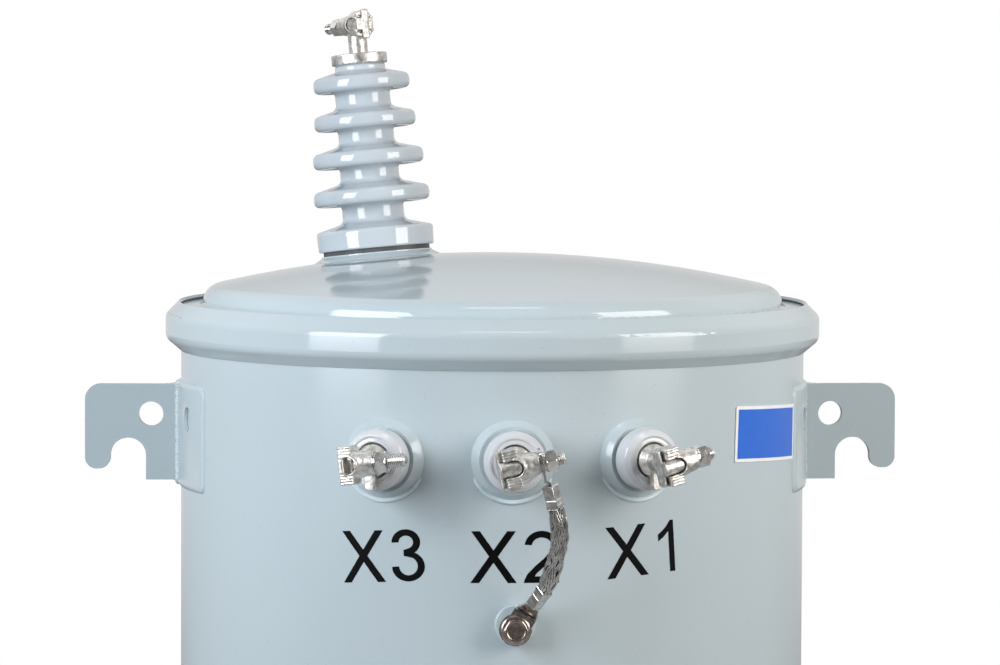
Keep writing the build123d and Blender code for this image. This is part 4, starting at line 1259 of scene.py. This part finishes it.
class TRANSFORMER_OT_studio(bpy.types.Operator):
    """Set up the floor, the lamps and the camera"""

    bl_idname = "transformer.studio"
    bl_label = "Studio"

    FLOOR_R, FLOOR_SIDES = 3.6, 96
    FLOOR_GLOSS, FLOOR_GLOW = 0.25, 0.3  # the rim's light, to gloss and as a share of the room's
    # What gloss sees of the room: its tone from front to back, and from low to high.
    FRONT_TO_BACK = ((0.0, 0.10), (0.35, 0.15), (0.55, 0.34), (0.72, 0.64), (1.0, 0.74))
    LOW_TO_HIGH = ((0.430, 0.16), (0.455, 0.51), (0.60, 0.51), (0.80, 1.0))
    ROOM_LEVEL = 1.95
    LAMPS = (  # name, azimuth, rise, distance, size, share of the power, colour
        ("softbox_left", -52.5, 13.7, 1.75, (0.80, 1.02), 1.0, (0.90, 0.935, 1.0)),
        ("softbox_right", 51.5, 13.6, 1.75, (0.86, 1.0), 0.82, (1.0, 0.95, 0.92)),
        ("softbox_top", 4.0, 66.0, 2.4, (0.9, 0.35), 0.17, (1.0, 0.98, 1.0)),
    )
    PAN, NOD, ROLL = -0.075, -3.63, 0.24  # of the camera, in degrees

    def execute(self, context):
        settings = context.scene.transformer_studio
        self.add_floor(context, settings)
        self.add_world(context, settings)
        self.add_lamps(context, settings)
        self.add_camera(context, settings)
        context.scene.view_settings.view_transform = "Standard"
        return {"FINISHED"}

    def add_floor(self, context, settings):
        """A round floor whose rim fades into the white surroundings."""
        turns = [2 * pi * j / self.FLOOR_SIDES for j in range(self.FLOOR_SIDES)]
        rim = [(self.FLOOR_R * cos(t), self.FLOOR_R * sin(t), 0.0) for t in turns]
        mesh = mesh_from("floor", rim, [tuple(range(self.FLOOR_SIDES))], smooth=False)
        floor = bpy.data.objects.new("floor", mesh)
        context.scene.collection.objects.link(floor)
        s = Shader("pale_floor")
        tone = s.mix(s.noise(3.0), (0.58, 0.59, 0.60, 1.0), (0.60, 0.61, 0.62, 1.0))
        s.finish(Base_Color=tone, Roughness=0.8)
        away = s.node("VectorMath", {"operation": "LENGTH"}, output="Value", _0=s.place())
        fade = s.ramp(away * 0.5, (0.25, 0.0), (0.62, 1.0))
        seen = s.seen().math("MAXIMUM", s.ray("Glossy") * self.FLOOR_GLOSS)
        low = settings.world_level * self.FLOOR_GLOW
        white = s.node(
            "Emission", Color=(1.0, 1.0, 1.0, 1.0), Strength=seen * (1.0 - low) + low
        )
        whole = s.node("MixShader", _0=fade, _1=Wire(s.tree, s.principled.outputs[0]), _2=white)
        feed(s.tree, s.tree.nodes["Material Output"].inputs["Surface"], whole)
        mesh.materials.append(s.material)

    def add_world(self, context, settings):
        """White to the camera, with a grey studio in front for gloss to reflect."""
        world = bpy.data.worlds.new("studio")
        context.scene.world = world
        world.use_nodes = True
        s = Nodes(world.node_tree)
        where = s.place("Generated")
        tones = [
            s.ramp(s.node("SeparateXYZ", output=axis, _0=where) * 0.5 + 0.5, *stops)
            for axis, stops in (("Y", self.FRONT_TO_BACK), ("Z", self.LOW_TO_HIGH))
        ]
        level = settings.world_level
        mirrored = tones[0] * tones[1] * self.ROOM_LEVEL
        grey = s.ray("Glossy") * (mirrored - level) + level
        background = s.tree.nodes["Background"]
        feed(s.tree, background.inputs["Color"], (1.0, 1.0, 1.0, 1.0))
        feed(s.tree, background.inputs["Strength"], s.seen() * (1.0 - grey) + grey)

    def add_lamps(self, context, settings):
        """Softboxes that face the clamp ring's middle."""
        aim = Vector((0.0, 0.0, RING_Z))
        for name, azimuth, rise, distance, size, share, colour in self.LAMPS:
            light = bpy.data.lights.new(name, "AREA")
            light.shape = "RECTANGLE"
            light.size, light.size_y = size
            light.energy = settings.lamp_power * share
            light.color = colour
            lamp = bpy.data.objects.new(name, light)
            context.scene.collection.objects.link(lamp)
            a, e = radians(azimuth), radians(rise)
            out = Vector((sin(a) * cos(e), -cos(a) * cos(e), sin(e)))
            lamp.location = aim + out * distance
            lamp.rotation_euler = out.to_track_quat("Z", "Y").to_euler()

    def add_camera(self, context, settings):
        """A long lens at the height of the cover."""
        data = bpy.data.cameras.new("camera")
        data.sensor_width = 36.0
        data.lens = settings.lens
        camera = bpy.data.objects.new("camera", data)
        context.scene.collection.objects.link(camera)
        a = settings.azimuth
        camera.location = (
            settings.distance * sin(a), -settings.distance * cos(a), settings.height
        )
        turn = Matrix.Rotation(a + radians(self.PAN), 4, "Z")
        nod = Matrix.Rotation(radians(90.0 + self.NOD), 4, "X")
        roll = Matrix.Rotation(radians(self.ROLL), 4, "Z")
        camera.rotation_euler = (turn @ nod @ roll).to_euler()
        context.scene.camera = camera


class TRANSFORMER_PT_panel(bpy.types.Panel):
    """Lists the transformer's settings and steps"""

    bl_idname = "TRANSFORMER_PT_panel"
    bl_label = "Transformer"
    bl_space_type = "VIEW_3D"
    bl_region_type = "UI"
    bl_category = "Transformer"

    def draw(self, context):
        for name in SETTINGS:
            group = getattr(context.scene, name)
            box = self.layout.box()
            for key in group.bl_rna.properties.keys():
                if key not in ("rna_type", "name"):
                    box.prop(group, key)
        for step in STEPS:
            self.layout.operator(step.bl_idname)


SETTINGS = {
    "transformer_finish": FinishSettings,
    "transformer_fitting": FittingSettings,
    "transformer_studio": StudioSettings,
}
STEPS = (
    TRANSFORMER_OT_studio,
    TRANSFORMER_OT_enamel,
    TRANSFORMER_OT_porcelain,
    TRANSFORMER_OT_castings,
    TRANSFORMER_OT_bolts,
    TRANSFORMER_OT_strap,
    TRANSFORMER_OT_welds,
    TRANSFORMER_OT_marks,
    TRANSFORMER_OT_label,
)


def register():
    for name, group in SETTINGS.items():
        bpy.utils.register_class(group)
        setattr(bpy.types.Scene, name, PointerProperty(type=group))
    for step in STEPS:
        bpy.utils.register_class(step)
    bpy.utils.register_class(TRANSFORMER_PT_panel)


def unregister():
    bpy.utils.unregister_class(TRANSFORMER_PT_panel)
    for step in reversed(STEPS):
        bpy.utils.unregister_class(step)
    for name, group in reversed(SETTINGS.items()):
        delattr(bpy.types.Scene, name)
        bpy.utils.unregister_class(group)


def main():
    register()
    steps = bpy.ops.transformer
    steps.studio()
    steps.enamel()
    steps.porcelain()
    steps.castings()
    steps.bolts()
    steps.strap()
    steps.welds()
    steps.marks()
    steps.label()


if __name__ == "__main__":
    main()
